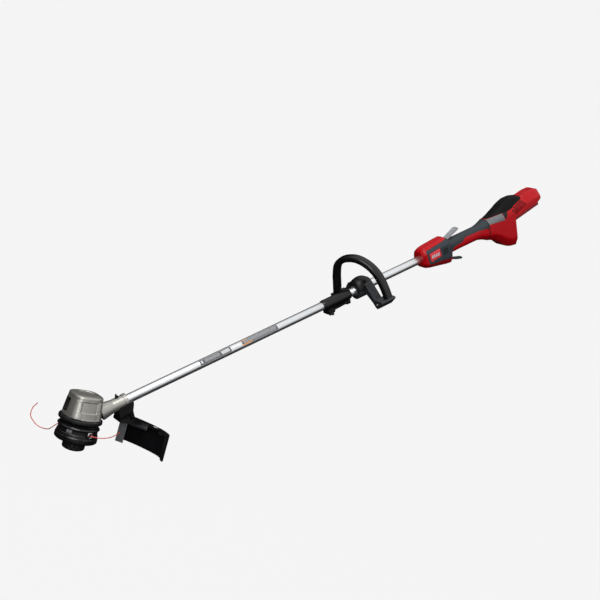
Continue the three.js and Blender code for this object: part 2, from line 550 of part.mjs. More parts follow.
// ---- Front housing and rear grip ----
// station = [along, halfWidth, top, bottom, topHalf, bottomHalf, sideTop, sideBottom, softness]
const frontStations = [
  [1181, 22, 26, -20, 12, 12, 12, -10, 0.2],
  [1189, 29, 34, -29, 14, 14, 20, -16, 0.12],
  [1206, 32, 37, -34, 14, 15, 22, -18, 0.1],
  [1255, 32, 41, -43, 14, 16, 24, -24, 0.1],
  [1280, 31, 43, -48, 13, 16, 24, -28, 0.12],
  [1293, 27, 36, -50, 11, 15, 18, -29, 0.2],
  [1303, 22, 27, -51, 9, 14, 13, -30, 0.3],
  [1306, 19, 25, -24, 8, 8, 11, -11, 0.45],
  [1345, 18, 24, -23, 8, 8, 11, -11, 0.5],
  [1425, 18.5, 24, -23, 8, 8, 11, -11, 0.5],
  [1446, 22, 28, -28, 9, 9, 13, -13, 0.45],
  [SEAM - GAP / 2, 27, 34, -38, 12, 12, 19, -19, 0.3],
];
const frontOuter = loft(frontStations);
const frontInner = loft(frontStations, WALL, WALL, -5);
const frontUnderSkin = loft(frontStations, SKIN, -5, -5);
const frontRecess = loft(frontStations, SKIN + GAP, -5, -5);
const gripRegion = [
  [1192, 28], [1285, 37], [1292, 60], [1480, 60], [1480, 7], [1433, 10], [1372, 11], [1361, 7], [1356, 0],
  [1320, -3], [1308, -12], [1301, -27], [1290, -31], [1264, -24], [1197, -17],
];
const badgeRegion = [[1199, 19], [1245, 23], [1249, -5], [1204, -11]];
const leverSlot = box(1283, 1312, -8.5, 8.5, 12, 60);
const triggerSlot = box(1289, 1330, -6.5, 6.5, -47, -24);
const tubeSeat = bar([1160, 0, 0], [UPPER_END + GAP, 0, 0], TUBE_R + GAP, TUBE_R + GAP, 28);
const tubeBoss = bar([1183, 0, 0], [UPPER_END + 4, 0, 0], 17, 17, 28);
const bossWeb = box(1189, UPPER_END, -31, 31, -2.5, 2.5);
const cableWay = bar([UPPER_END, 0, 0], [1262, 0, 0], 6, 6, 16);
const seamWindow = box(SEAM - 6, SEAM + 2, -12, 12, -12, 12);
const LEVER_PIVOT = [1292, 24];
const TRIGGER_PIVOT = [1296, -38];
const pinHole = ([t, v], r, half = 18) => bar([t, -half, v], [t, half, v], r, r, 12);
const bossAt = ([t, v], r) => join(...[-1, 1].map(side => bar([t, side * 9, v], [t, side * 40, v], r, r, 16)));
const badgeWindow = join(sideways(badgeRegion, -60, -20), sideways(badgeRegion, 20, 60));
const badgeShow = join(...[[-60, -20], [20, 60]].map(([y0, y1]) => sideways(grown(badgeRegion, -GAP), y0, y1)));
const skinRecess = cut(cut(sideways(grown(gripRegion, GAP), -60, 60), badgeShow), frontRecess);
const frontShell = cut(
  join(cut(frontOuter, frontInner), common(frontUnderSkin, join(tubeBoss, bossWeb, bossAt(LEVER_PIVOT, 4.5),
    bossAt(TRIGGER_PIVOT, 4.5)))),
  tubeSeat, cableWay, leverSlot, triggerSlot, seamWindow, pinHole(LEVER_PIVOT, 1.9, 14 + GAP),
  pinHole(TRIGGER_PIVOT, 1.9, 13 + GAP), skinRecess);
for (const [half, label] of [[leftHalf(), 'left'], [rightHalf(), 'right']]) {
  add(`front_shell_${label}`, common(frontShell, half), 'red', boom);
  const skin = common(common(cut(frontOuter, frontUnderSkin), sideways(gripRegion, -60, 60)), half);
  add(`grip_overmold_${label}`, cut(skin, badgeWindow, leverSlot, triggerSlot), 'charcoal', boom);
}
// Lockout lever over the grip and finger trigger under it, each on its own cross pin.
add('lockout_lever', cut(
  join(bar([LEVER_PIVOT[0], -7.5, LEVER_PIVOT[1]], [LEVER_PIVOT[0], 7.5, LEVER_PIVOT[1]], 5, 5, 24),
    sideways([[1289, 27], [1291, 29.5], [1342, 51], [1350, 50.5], [1353, 45], [1348, 41.5], [1306, 27.5], [1294, 20.5]],
      -7.5, 7.5)),
  sideways([[1310, 26], [1346, 39.5], [1346, 44.5], [1310, 31]], -5, 5), pinHole(LEVER_PIVOT, 1.9)), 'grey', boom);
add('trigger', cut(
  join(bar([TRIGGER_PIVOT[0], -5.5, TRIGGER_PIVOT[1]], [TRIGGER_PIVOT[0], 5.5, TRIGGER_PIVOT[1]], 4.6, 4.6, 24),
    sideways([[1295, -34], [1306, -36.5], [1330, -46], [1356, -53.5], [1358, -57], [1353, -60], [1330, -53.5],
      [1303, -43.5]], -5.5, 5.5),
    sideways([[1292, -38], [1298, -36], [1296, -25], [1291, -25]], -5.5, 5.5)),
  pinHole(TRIGGER_PIVOT, 1.9)), 'charcoal', boom);
for (const [pivot, name, half] of [[LEVER_PIVOT, 'lever_pin', 14], [TRIGGER_PIVOT, 'trigger_pin', 13]]) {
  add(name, bar([pivot[0], -half, pivot[1]], [pivot[0], half, pivot[1]], 1.6, 1.6, 16), 'steel', boom);
}
add('power_switch', join(box(1262, 1286, -7, 7, -36, -20), box(1285, 1287.5, -2, 2, -30, -26)), 'black', boom);

// ---- Rear housing ----
const bodyStations = [
  [SEAM + GAP / 2, 27, 34, -38, 12, 12, 19, -19, 0.3],
  [1490, 30, 38, -45, 13, 14, 20, -22, 0.22],
  [1512, 33, 46, -58, 15, 17, 24, -32, 0.18],
  [1532, 36, 54, -78, 16, 20, 27, -48, 0.15],
  [1552, 39, 63, -88, 17, 24, 30, -60, 0.12],
  [1576, 43, 69, -90, 18, 30, 33, -62, 0.1],
];
const tailStations = [
  [1545, 34, 60, 2, 17, 30, 30, 6, 0.12],
  [1576, 36, 69, 2, 18, 32, 33, 6, 0.12],
  [1604, 36, 69, 5, 18, 32, 36, 9, 0.12],
  [1638, 35, 60, 11, 18, 31, 36, 15, 0.12],
  [1672, 34, 66, 16, 18, 30, 40, 20, 0.12],
  [1700, 33, 66, 20, 17.5, 29, 41, 24, 0.12],
  [1713, 30, 60, 25, 15, 26, 38, 29, 0.15],
];
const BAY = { t0: 1548, half: 35, low: -80, high: 2 };
const rearOuter = join(loft(bodyStations), loft(tailStations));
const bodyRoom = [...bodyStations.slice(0, 4), [1543, 37, 58, -83, 16.5, 22, 28, -54, 0.13]];
const rearInner = join(loft(bodyRoom, WALL, -5, 0), loft(tailStations, WALL, 8, WALL));
const rearUnderSkin = join(loft(bodyStations, SKIN, -5, 0), loft(tailStations, SKIN, 0, -5));
const rearRecess = join(loft(bodyStations, SKIN + GAP, -5, 0), loft(tailStations, SKIN + GAP, 0, -5));
const bayRoom = box(BAY.t0, 1700, -BAY.half, BAY.half, BAY.low, BAY.high);
const domeRegion = [
  [SEAM, 40], [1476, 36], [1530, 40], [1554, 38], [1628, 57], [1628, 90], [SEAM - 5, 90], [SEAM - 5, 40],
];
const panelRegion = [[1475, 34], [1529, 38], [1534, 15], [1475, 18]];
const rails = [-1, 1].map(side => sideways([[1580, -4], [1693, 14], [1693, 23], [1580, 6]],
  side < 0 ? -36 : 30, side < 0 ? -30 : 36));
const grooves = [-1, 1].map(side => sideways([[1560, -2], [1710, 20], [1710, 17], [1560, -5]],
  side < 0 ? -33 : 27, side < 0 ? -27 : 33));
const rearShell = cut(
  join(cut(rearOuter, rearInner), ...rails), bayRoom, ...grooves, seamWindow,
  cut(sideways(grown(domeRegion, GAP), -70, 70), rearRecess),
  cut(sideways(grown(panelRegion, GAP), -70, 70), rearRecess));
const sidePanels = cut(common(cut(rearOuter, rearUnderSkin), sideways(panelRegion, -70, 70)),
  box(1400, 1600, -9, 9, -10, 60));
for (const [half, label] of [[leftHalf(), 'left'], [rightHalf(), 'right']]) {
  add(`rear_shell_${label}`, common(rearShell, half), 'red', boom);
  add(`side_panel_${label}`, common(sidePanels, half), 'grey', boom);
}
add('top_cover', cut(common(cut(rearOuter, rearUnderSkin), sideways(domeRegion, -70, 70)),
  sideways(grown(panelRegion, GAP), -70, 70), box(1400, SEAM + GAP / 2, -70, 70, -100, 100)), 'black', boom);
add('terminal_block', join(box(1548.3, 1555, -26, 26, -30, -8),
  ...[-18, -6, 6, 18].map(c => box(1554, 1572, c - 0.6, c + 0.6, -26, -12))), 'black', boom);
add('controller_board', box(1490, 1538, -20, 20, -12, -10), 'green', boom);

export default group;
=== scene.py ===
"""Looks of a cordless string trimmer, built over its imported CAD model.

Helpers work in millimetres; a mesh becomes metres when it is made. It is placed by frame_now: the
motor head, line head and guard are made in the world frame, and everything on the boom in the boom
frame, with X along the boom, Y to the operator's right and Z out of the top of the boom.
"""
import json
import math

import bmesh
import bpy
from mathutils import Matrix, Vector


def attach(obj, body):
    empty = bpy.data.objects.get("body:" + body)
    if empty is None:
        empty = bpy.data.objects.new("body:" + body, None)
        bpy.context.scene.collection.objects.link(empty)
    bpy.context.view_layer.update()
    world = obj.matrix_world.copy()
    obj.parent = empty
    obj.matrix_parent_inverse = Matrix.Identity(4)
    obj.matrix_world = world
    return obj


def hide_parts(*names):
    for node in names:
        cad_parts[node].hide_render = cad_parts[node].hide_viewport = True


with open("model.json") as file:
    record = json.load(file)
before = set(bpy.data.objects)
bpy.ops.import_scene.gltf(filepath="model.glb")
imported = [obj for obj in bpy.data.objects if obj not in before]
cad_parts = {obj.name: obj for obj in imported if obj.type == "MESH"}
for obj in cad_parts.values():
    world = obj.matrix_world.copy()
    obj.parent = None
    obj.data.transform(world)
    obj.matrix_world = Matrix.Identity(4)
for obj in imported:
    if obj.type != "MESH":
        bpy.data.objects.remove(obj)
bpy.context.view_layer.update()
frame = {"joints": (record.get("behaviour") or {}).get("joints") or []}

MM = 0.001
JOINTS = {j["name"]: j for j in frame["joints"]}
ALONG = Vector(JOINTS["handle_slide"]["axis"]).normalized()
OUT = ALONG.cross(Vector((0, 1, 0)))
CROSSING = Vector((0, 0, 0.072))
WORLD = Matrix.Identity(4)
BOOM = Matrix.Translation(CROSSING) @ Matrix((ALONG, (0, 1, 0), OUT)).transposed().to_4x4()
TILT = math.atan2(ALONG.z, ALONG.x)

GAP = 0.3  # clearance between neighbouring pieces
TUBE_R = 12.7
TUBE_END = 1240
SPLIT = 850  # where the lower and the upper tube meet
SKIN = 2.2  # thickness of the overmould, the dome and the grey inlay


# ---------------- camera

def make_camera():
    """The camera looks along the boom's left side from a little above, with a lean to the left."""
    place = Vector((-1.2054, -2.2557, 0.7322))
    right = Vector((0.76754, -0.58174, 0.26919))
    up = Vector((-0.16269, 0.22940, 0.95964))
    back = right.cross(up)
    data = bpy.data.cameras.new("camera")
    data.lens = 60
    data.sensor_width = 36
    camera = bpy.data.objects.new("camera", data)
    camera.matrix_world = Matrix.Translation(place) @ Matrix((right, up, back)).transposed().to_4x4()
    link(camera)
    bpy.context.scene.camera = camera


# ---------------- mesh helpers

def link(thing):
    bpy.context.scene.collection.objects.link(thing)
    return thing


def new_object(name, vertices, faces):
    mesh = bpy.data.meshes.new(name)
    mesh.from_pydata([frame_now @ (Vector(v) * MM) for v in vertices], [], faces)
    mesh.validate()
    piece = bpy.data.objects.new(name, mesh)
    link(piece)
    facing_out(piece)
    return piece


def facing_out(piece):
    bm = bmesh.new()
    bm.from_mesh(piece.data)
    bmesh.ops.recalc_face_normals(bm, faces=bm.faces)
    bm.to_mesh(piece.data)
    bm.free()


def settle(piece):
    """Applies the piece's modifiers."""
    bpy.context.view_layer.update()
    graph = bpy.context.evaluated_depsgraph_get()
    mesh = bpy.data.meshes.new_from_object(piece.evaluated_get(graph))
    piece.modifiers.clear()
    piece.data = mesh
    return piece


def boolean(piece, others, operation):
    """Joins or cuts with the manifold solver, or with the exact one where that changes nothing."""
    for other in others:
        before = piece.data
        for solver in ("MANIFOLD", "EXACT"):
            modifier = piece.modifiers.new("cut", "BOOLEAN")
            modifier.object = other
            modifier.operation = operation
            modifier.solver = solver
            settle(piece)
            if piece.data.polygons and len(piece.data.polygons) != len(before.polygons):
                break
            piece.data = before
    for other in others:
        bpy.data.objects.remove(other)
    return piece


def cut(piece, *others):
    return boolean(piece, others, "DIFFERENCE")


def join(piece, *others):
    return boolean(piece, others, "UNION")


def common(piece, *others):
    return boolean(piece, others, "INTERSECT")


def copy_of(piece, name):
    twin = piece.copy()
    twin.data = piece.data.copy()
    twin.name = name
    return link(twin)


def cast(piece, voxel, passes=4):
    """Rounds every edge and fills every inside corner a little, as a mould does."""
    remesh = piece.modifiers.new("skin", "REMESH")
    remesh.mode = "VOXEL"
    remesh.voxel_size = voxel * MM
    smooth = piece.modifiers.new("smooth", "SMOOTH")
    smooth.factor = 0.5
    smooth.iterations = passes
    settle(piece)
    piece["cast"] = True
    return piece


def edged(piece, width, segments=3, angle=32):
    """Rounds the sharp edges."""
    bevel = piece.modifiers.new("edge", "BEVEL")
    bevel.width = width * MM
    bevel.segments = segments
    bevel.limit_method = "ANGLE"
    bevel.angle_limit = math.radians(angle)
    bevel.harden_normals = False
    return settle(piece)


def skin(name, rings, closed=False):
    """Joins equal rings into one closed skin, flat at both ends unless it closes on itself."""
    n = len(rings[0])
    faces = []
    for s in range(len(rings) - (0 if closed else 1)):
        a, b = s * n, (s + 1) % len(rings) * n
        faces += [(a + i, a + (i + 1) % n, b + (i + 1) % n, b + i) for i in range(n)]
    if not closed:
        last = (len(rings) - 1) * n
        faces += [tuple(range(n))[::-1], tuple(range(last, last + n))]
    return new_object(name, [p for ring in rings for p in ring], faces)


def rounded(outline, radius, steps=4, closed=True):
    """The outline with each corner turned into an arc-like curve that starts radius away from it."""
    points = []
    count = len(outline)
    for i, corner in enumerate(outline):
        corner = Vector(corner)
        if not closed and i in (0, count - 1):
            points.append(corner)
            continue
        before = Vector(outline[i - 1]) - corner
        after = Vector(outline[(i + 1) % count]) - corner
        a = corner + before.normalized() * min(radius, before.length * 0.45)
        b = corner + after.normalized() * min(radius, after.length * 0.45)
        for k in range(steps + 1):
            u = k / steps
            points.append(a * (1 - u) ** 2 + corner * 2 * u * (1 - u) + b * u * u)
    return points


def turned(name, profile, segments=96, radius=0.0, axis="Z", centre=(0, 0, 0)):
    """Solid of revolution from a closed [radius, height] profile that starts and ends on the axis."""
    points = rounded(profile, radius, closed=False) if radius else [Vector(p) for p in profile]
    rings = []
    for k in range(segments):
        a = 2 * math.pi * k / segments
        ring = []
        for r, h in points:
            x, y = r * math.cos(a), r * math.sin(a)
            local = {"Z": (x, y, h), "X": (h, x, y), "Y": (x, h, y)}[axis]
            ring.append(tuple(local[d] + centre[d] for d in range(3)))
        rings.append(ring)
    piece = skin(name, rings, closed=True)
    bm = bmesh.new()
    bm.from_mesh(piece.data)
    bmesh.ops.remove_doubles(bm, verts=bm.verts, dist=1e-6)
    bmesh.ops.delete(bm, geom=[e for e in bm.edges if not e.link_faces], context="EDGES")
    bmesh.ops.recalc_face_normals(bm, faces=bm.faces)
    bm.to_mesh(piece.data)
    bm.free()
    return piece


def rod(name, a, b, r0, r1=None, segments=48):
    """Round bar between two points, with a taper where the radii differ."""
    a, b = Vector(a), Vector(b)
    r1 = r0 if r1 is None else r1
    turn = Vector((0, 0, 1)).rotation_difference((b - a).normalized())
    rings = []
    for p, r in ((a, r0), (b, r1)):
        rings.append([tuple(p + turn @ Vector((r * math.cos(t), r * math.sin(t), 0)))
                      for t in (2 * math.pi * k / segments for k in range(segments))])
    return skin(name, rings)


def bar(name, a, b, radius, segments=32):
    """Straight round bar."""
    return rod(name, a, b, radius, None, segments)


def block(name, low, high):
    (x0, y0, z0), (x1, y1, z1) = low, high
    rings = [[(x0, y0, z), (x1, y0, z), (x1, y1, z), (x0, y1, z)] for z in (z0, z1)]
    return skin(name, rings)


def raised(name, outline, z0, z1):
    """Prism over an XY outline."""
    return skin(name, [[(p[0], p[1], z) for p in outline] for z in (z0, z1)])


def sideways(name, outline, y0, y1):
    """Prism over an XZ outline, running along Y."""
    return skin(name, [[(p[0], y, p[1]) for p in outline] for y in (y0, y1)])


def catmull(points, per_span=12):
    """Centripetal Catmull-Rom curve through the points."""
    p = [Vector(q) for q in points]
    p = [p[0] * 2 - p[1], *p, p[-1] * 2 - p[-2]]
    out = []
    for i in range(1, len(p) - 2):
        a, b, c, d = p[i - 1:i + 3]
        t1 = (b - a).length ** 0.5
        t2 = t1 + (c - b).length ** 0.5
        t3 = t2 + (d - c).length ** 0.5
        for k in range(per_span):
            t = t1 + (t2 - t1) * k / per_span
            a1 = a * ((t1 - t) / t1) + b * (t / t1)
            a2 = b * ((t2 - t) / (t2 - t1)) + c * ((t - t1) / (t2 - t1))
            a3 = c * ((t3 - t) / (t3 - t2)) + d * ((t - t2) / (t3 - t2))
            b1 = a1 * ((t2 - t) / t2) + a2 * (t / t2)
            b2 = a2 * ((t3 - t) / (t3 - t1)) + a3 * ((t - t1) / (t3 - t1))
            out.append(b1 * ((t2 - t) / (t2 - t1)) + b2 * ((t - t1) / (t2 - t1)))
    out.append(p[-2])
    return out


def swept(name, path, section, flat_axis):
    """Sweeps a section along a path; the section's first axis stays along flat_axis."""
    rings = []
    flat = Vector(flat_axis)
    for i, p in enumerate(path):
        run = (path[min(i + 1, len(path) - 1)] - path[max(i - 1, 0)]).normalized()
        across = (flat - run * flat.dot(run)).normalized()
        other = run.cross(across)
        rings.append([tuple(p + across * x + other * y) for x, y in section])
    return skin(name, rings)


def superellipse(rx, ry, power=2.0, n=48):
    e = 2 / power
    return [(rx * math.copysign(abs(math.cos(t)) ** e, math.cos(t)),
             ry * math.copysign(abs(math.sin(t)) ** e, math.sin(t)))
            for t in (2 * math.pi * k / n for k in range(n))]


def merged(name, pieces):
    """Several meshes as one piece, without joining their surfaces."""
    bm = bmesh.new()
    for piece in pieces:
        bm.from_mesh(piece.data)
    mesh = bpy.data.meshes.new(name)
    bm.to_mesh(mesh)
    bm.free()
    for piece in pieces:
        bpy.data.objects.remove(piece)
    return link(bpy.data.objects.new(name, mesh))


def show(piece, body, material, nodes=(), slot=None, angle=35):
    """Gives a finished piece its material, smooth shading, body and CAD nodes."""
    slot = slot or SLOTS.get(material)
    piece.data.materials.clear()
    piece.data.materials.append(MATERIALS[material])
    if piece.type == "MESH":
        for face in piece.data.polygons:
            face.use_smooth = True
        if not piece.get("cast"):
            piece.data.set_sharp_from_angle(angle=math.radians(angle))
    if nodes:
        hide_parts(*nodes)
    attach(piece, body)
    return piece


# ---------------- materials

GRAIN_DEPTH = 0.00004


def shaded(name, colour, rough, metallic=0.0, vary=0.12, scale=60.0, stretch=(1, 1, 1), bump=0.1,
           bump_scale=900.0, rough_spread=0.06, specular=0.5, turn=0.0, **extra):
    """Principled material whose colour, roughness and grain come from noise in the object's own frame."""
    material = bpy.data.materials.new(name)
    material.use_nodes = True
    tree = material.node_tree
    shader = tree.nodes["Principled BSDF"]
    shader.inputs["Metallic"].default_value = metallic
    shader.inputs["Specular IOR Level"].default_value = specular
    for key, value in extra.items():
        shader.inputs[key.replace("_", " ")].default_value = value
    place = tree.nodes.new("ShaderNodeTexCoord")
    mapping = tree.nodes.new("ShaderNodeMapping")
    mapping.inputs["Rotation"].default_value = (0, turn, 0)
    mapping.inputs["Scale"].default_value = stretch
    tree.links.new(place.outputs["Object"], mapping.inputs["Vector"])

    def noise_at(size, detail):
        node = tree.nodes.new("ShaderNodeTexNoise")
        node.inputs["Scale"].default_value = size
        node.inputs["Detail"].default_value = detail
        tree.links.new(mapping.outputs["Vector"], node.inputs["Vector"])
        return node

    cloud = noise_at(scale, 4)
    ramp = tree.nodes.new("ShaderNodeValToRGB")
    ramp.color_ramp.elements[0].position = 0.3
    ramp.color_ramp.elements[1].position = 0.7
    low = [c * (1 - vary) for c in colour]
    high = [min(1, c * (1 + vary)) for c in colour]
    ramp.color_ramp.elements[0].color = (*low, 1)
    ramp.color_ramp.elements[1].color = (*high, 1)
    tree.links.new(cloud.outputs["Fac"], ramp.inputs["Fac"])
    tree.links.new(ramp.outputs["Color"], shader.inputs["Base Color"])
    spread = tree.nodes.new("ShaderNodeMapRange")
    spread.inputs["To Min"].default_value = max(0.02, rough - rough_spread)
    spread.inputs["To Max"].default_value = rough + rough_spread
    tree.links.new(cloud.outputs["Fac"], spread.inputs["Value"])
    tree.links.new(spread.outputs["Result"], shader.inputs["Roughness"])
    grain = noise_at(bump_scale, 3)
    relief = tree.nodes.new("ShaderNodeBump")
    relief.inputs["Strength"].default_value = bump
    relief.inputs["Distance"].default_value = GRAIN_DEPTH
    tree.links.new(grain.outputs["Fac"], relief.inputs["Height"])
    tree.links.new(relief.outputs["Normal"], shader.inputs["Normal"])
    return material


def make_materials():
    return {
        "cast": shaded("cast_metal", (0.40, 0.39, 0.36), 0.36, 0.75, vary=0.1, scale=25, bump=0.1,
                       bump_scale=1400),
        "tube": shaded("anodised_tube", (0.80, 0.82, 0.84), 0.26, 0.95, vary=0.03, scale=300,
                       stretch=(0.04, 1, 1), bump=0.02, bump_scale=1500, turn=TILT),
        "black": shaded("black_plastic", (0.009, 0.009, 0.010), 0.36, vary=0.2, bump=0.2, bump_scale=1600,
                        specular=0.28),
        "gloss": shaded("gloss_black", (0.006, 0.006, 0.007), 0.16, vary=0.2, bump=0.03, bump_scale=900,
                        specular=0.36),
        "dome": shaded("satin_black", (0.003, 0.003, 0.0035), 0.4, vary=0.2, bump=0.1, bump_scale=1600,
                       specular=0.12),
        "grip": shaded("charcoal_rubber", (0.028, 0.037, 0.044), 0.5, vary=0.12, bump=0.1, bump_scale=2200,
                       specular=0.3),
        "red": shaded("red_plastic", (0.47, 0.003, 0.008), 0.3, vary=0.06, bump=0.04, bump_scale=1800,
                      specular=0.22),
        "dark_red": shaded("dark_red_plastic", (0.26, 0.004, 0.008), 0.4, vary=0.1, bump=0.1, bump_scale=1600),
        "badge": shaded("badge_red", (0.80, 0.05, 0.07), 0.35, vary=0.04, bump=0.05),
        "steel": shaded("bright_steel", (0.55, 0.56, 0.58), 0.25, 1.0, vary=0.08, scale=120, bump=0.08),
        "zinc": shaded("zinc_screw", (0.42, 0.42, 0.42), 0.32, 1.0, vary=0.15, scale=300, bump=0.15),
        "copper": shaded("copper_wire", (0.70, 0.30, 0.14), 0.3, 1.0, vary=0.15, scale=200, stretch=(1, 1, 8),
                         bump=0.3),
        "grey": shaded("grey_plastic", (0.15, 0.155, 0.165), 0.34, vary=0.1, bump=0.04, bump_scale=1500),
        "silver": shaded("silver_plastic", (0.42, 0.43, 0.45), 0.3, 0.3, vary=0.08, bump=0.02, bump_scale=1400),
        "slate": shaded("slate_plastic", (0.028, 0.031, 0.036), 0.42, vary=0.18, bump=0.2, bump_scale=1500),
        "line": shaded("trimmer_line", (0.80, 0.14, 0.10), 0.35, vary=0.08, scale=300, bump=0.05,
                       Transmission_Weight=0.25),
        "board": shaded("circuit_board", (0.02, 0.14, 0.06), 0.4, vary=0.2, scale=250, bump=0.1),
        "label": shaded("label_dark", (0.10, 0.10, 0.11), 0.4, vary=0.35, scale=260, bump=0.02),
        "label_mid": shaded("label_grey", (0.24, 0.245, 0.26), 0.4, vary=0.2, scale=260, bump=0.02),
        "label_light": shaded("label_light", (0.55, 0.56, 0.57), 0.4, vary=0.1, scale=260, bump=0.02),
        "label_amber": shaded("label_amber", (0.75, 0.28, 0.05), 0.4, vary=0.1, scale=260, bump=0.02),
    }


MATERIALS = {}
SLOTS = {
    "cast": "cast_metal", "tube": "boom_tube", "black": "black_plastic", "gloss": "black_plastic",
    "dome": "black_plastic", "slate": "black_plastic", "grip": "charcoal_grip", "red": "red_shell",
    "dark_red": "red_shell", "badge": "red_shell", "steel": "steel", "zinc": "steel", "copper": "copper",
    "grey": "grey_panel", "silver": "grey_panel", "line": "line", "board": "board",
}


# ---------------- cutting lines

LINE_HEIGHT = 54
LINE_RADIUS = 1.2
EYELET_DEGREES = -80
EYELET_ANGLE = math.radians(EYELET_DEGREES)


def outwards(radius, side=1):
    """A point on the eyelets' shared axis, radius from the spool axis."""
    return (side * radius * math.cos(EYELET_ANGLE), side * radius * math.sin(EYELET_ANGLE), LINE_HEIGHT)


def make_lines():
    """The two free tails of nylon line, each curled by its own set."""
    routes = {
        "left": [outwards(50), outwards(57.5), (22, -64, 54), (37, -66.5, 54), (69, -52, 54), (93, -31, 54),
                 (127, 4, 54)],
        "right": [outwards(50, -1), outwards(58, -1), (-27, 59, 46), (-48, 46, 38), (-68, 18, 42),
                  (-87, -10, 49), (-104, -20, 53), (-118, -14, 57), (-125, 2, 64), (-124, 24, 70),
                  (-106, 62, 78), (-73, 110, 80)],
    }
    for label, route in routes.items():
        points = [p * MM for p in catmull(route, 6)]
        curve = bpy.data.curves.new(f"nylon_line_{label}", "CURVE")
        curve.dimensions = "3D"
        curve.bevel_depth = LINE_RADIUS * MM
        curve.bevel_resolution = 4
        curve.use_fill_caps = True
        spline = curve.splines.new("POLY")
        spline.points.add(len(points) - 1)
        for node, p in zip(spline.points, points):
            node.co = (*p, 1)
        curve.materials.append(MATERIALS["line"])
        piece = bpy.data.objects.new(f"nylon_line_{label}", curve)
        link(piece)
        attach(piece, "spool_head")
        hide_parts(f"cutting_line_{label}")


# ---------------- motor head

VENT_TURN = -32


def squircle(a, z, n=96):
    """Rounded-square ring with half side a."""
    return [(x, y, z) for x, y in superellipse(a, a, 3, n)]


def along_boom(t, c=0, v=0):
    """A boom-frame point in the spool frame, millimetres."""
    return tuple((BOOM @ (Vector((t, c, v)) * MM)) / MM)


def turned_about_z(piece, degrees):
    piece.data.transform(Matrix.Rotation(math.radians(degrees), 4, "Z"))
    return piece


def sector(name, z0, span0, z1, span1, near=30, far=75):
    """Sector about the spool axis between two angles, which may close up towards the top."""
    rings = []
    for z, (a, b) in ((z0, span0), (z1, span1)):
        corners = ((near, a), (far, a), (far, b), (near, b))
        rings.append([(r * math.cos(math.radians(d)), r * math.sin(math.radians(d)), z) for r, d in corners])
    return skin(name, rings)


def make_motor_housing():
    walls = [(47, 88), (46.8, 90), (46.3, 92), (41, 138)]
    shoulder = [(38.4 + 2.4 * math.cos(a), 141 + 6 * math.sin(a))
                for a in (math.radians(d) for d in range(0, 91, 15))]
    crown = [(37, 147.6), (35, 148.2), (30, 149.4), (24, 150)]
    case = skin("motor_case", [squircle(a, z) for a, z in walls + shoulder[1:] + crown])
    rib_skin = skin("rib_skin", [squircle(a, z) for a, z in ((49.9, 89.7), (49.5, 95), (44.4, 136))])
    neck = [
        rod("neck_root", along_boom(56), along_boom(94), 24.5, 17.6, 64),
        rod("neck_pipe", along_boom(92), along_boom(132), 17.6, 17.6, 64),
        rod("neck_collar", along_boom(127), along_boom(137), 19, 19, 64),
    ]
    wedges = [
        sector("rib_wide", 89, (-146, -116), 137, (-142, -127)),
        sector("rib_left", 89, (-61, -54), 137, (-61, -57)), sector("rib_right", 89, (54, 61), 137, (57, 61)),
    ]
    for part in [*neck, *[common(copy_of(rib_skin, "rib"), wedge) for wedge in wedges]]:
        join(case, part)
    bpy.data.objects.remove(rib_skin)
    floor = skin("panel_floor", [squircle(a, z) for a, z in ((45.2, 88), (38.8, 141))])
    panels = [cut(sector("panel", 107, span, 135, span), copy_of(floor, "floor"))
              for span in ((-122, -66), (66, 112))]
    bpy.data.objects.remove(floor)
    cut(case,
        rod("neck_bore", along_boom(84 - GAP), along_boom(150), TUBE_R + GAP, None, 64),
        rod("screw_hole", along_boom(113, 0, 15.5), along_boom(113, 0, 30), 2.4, None, 20),
        turned_about_z(block("vent_window", (-60, -24, 97), (-30, 24, 132)), VENT_TURN),
        turned("crown_dish", [(0, 147.8), (23, 147.8), (26, 152), (0, 152)]),
        skin("case_room", [squircle(a, z) for a, z in ((44, 80), (43.6, 91), (38, 138), (34, 145))]),
        block("below_base", (-120, -120, 0), (200, 120, 88)), *panels)
    cast(case, 0.7, 5)
    show(case, "boom", "cast", ["motor_housing"])

    face = skin("grille_face", [squircle(46.8, 88), squircle(41.2, 141)])
    grille = common(face, turned_about_z(block("grille_area", (-60, -23.6, 97.4), (-38, 23.6, 131.6)),
                                         VENT_TURN))
    slots = [turned_about_z(block("slot", (-60, -20.5 + 6.4 * i, 101), (-30, -17.3 + 6.4 * i, 128)), VENT_TURN)
             for i in range(7)]
    grille = cut(grille, *slots)
    show(edged(grille, 0.4, 2), "boom", "black", ["vent_grille"])

    base = turned("motor_base_ring", [(0, 76), (52, 76), (57, 79), (57, 86), (54, 87.7), (0, 87.7)], 128, 1.2)
    cut(base, turned("spindle_seat", [(0, 70), (7, 70), (7, 79.7), (11.3, 79.7), (11.3, 90), (0, 90)]),
        turned("base_step", [(0, 75), (30, 75), (30, 77.5), (0, 77.5)]))
    screws = []
    for k in range(4):
        a = math.radians(45 + 90 * k)
        x, y = 46 * math.cos(a), 46 * math.sin(a)
        screws.append(turned("base_screw", [(0, 74.6), (3.4, 74.6), (3.8, 75.2), (3.8, 76.2), (0, 76.2)], 32,
                             0.3, centre=(x, y, 0)))
    show(base, "boom", "black", ["motor_base"])
    show(merged("base_screws", screws), "boom", "zinc")


WINDOWS = (1, 2, 4, 5)  # sixths of a turn from the left eyelet


def eyelet_holes():
    return [rod("eyelet_hole", outwards(38, side), outwards(62, side), 8.6) for side in (1, -1)]


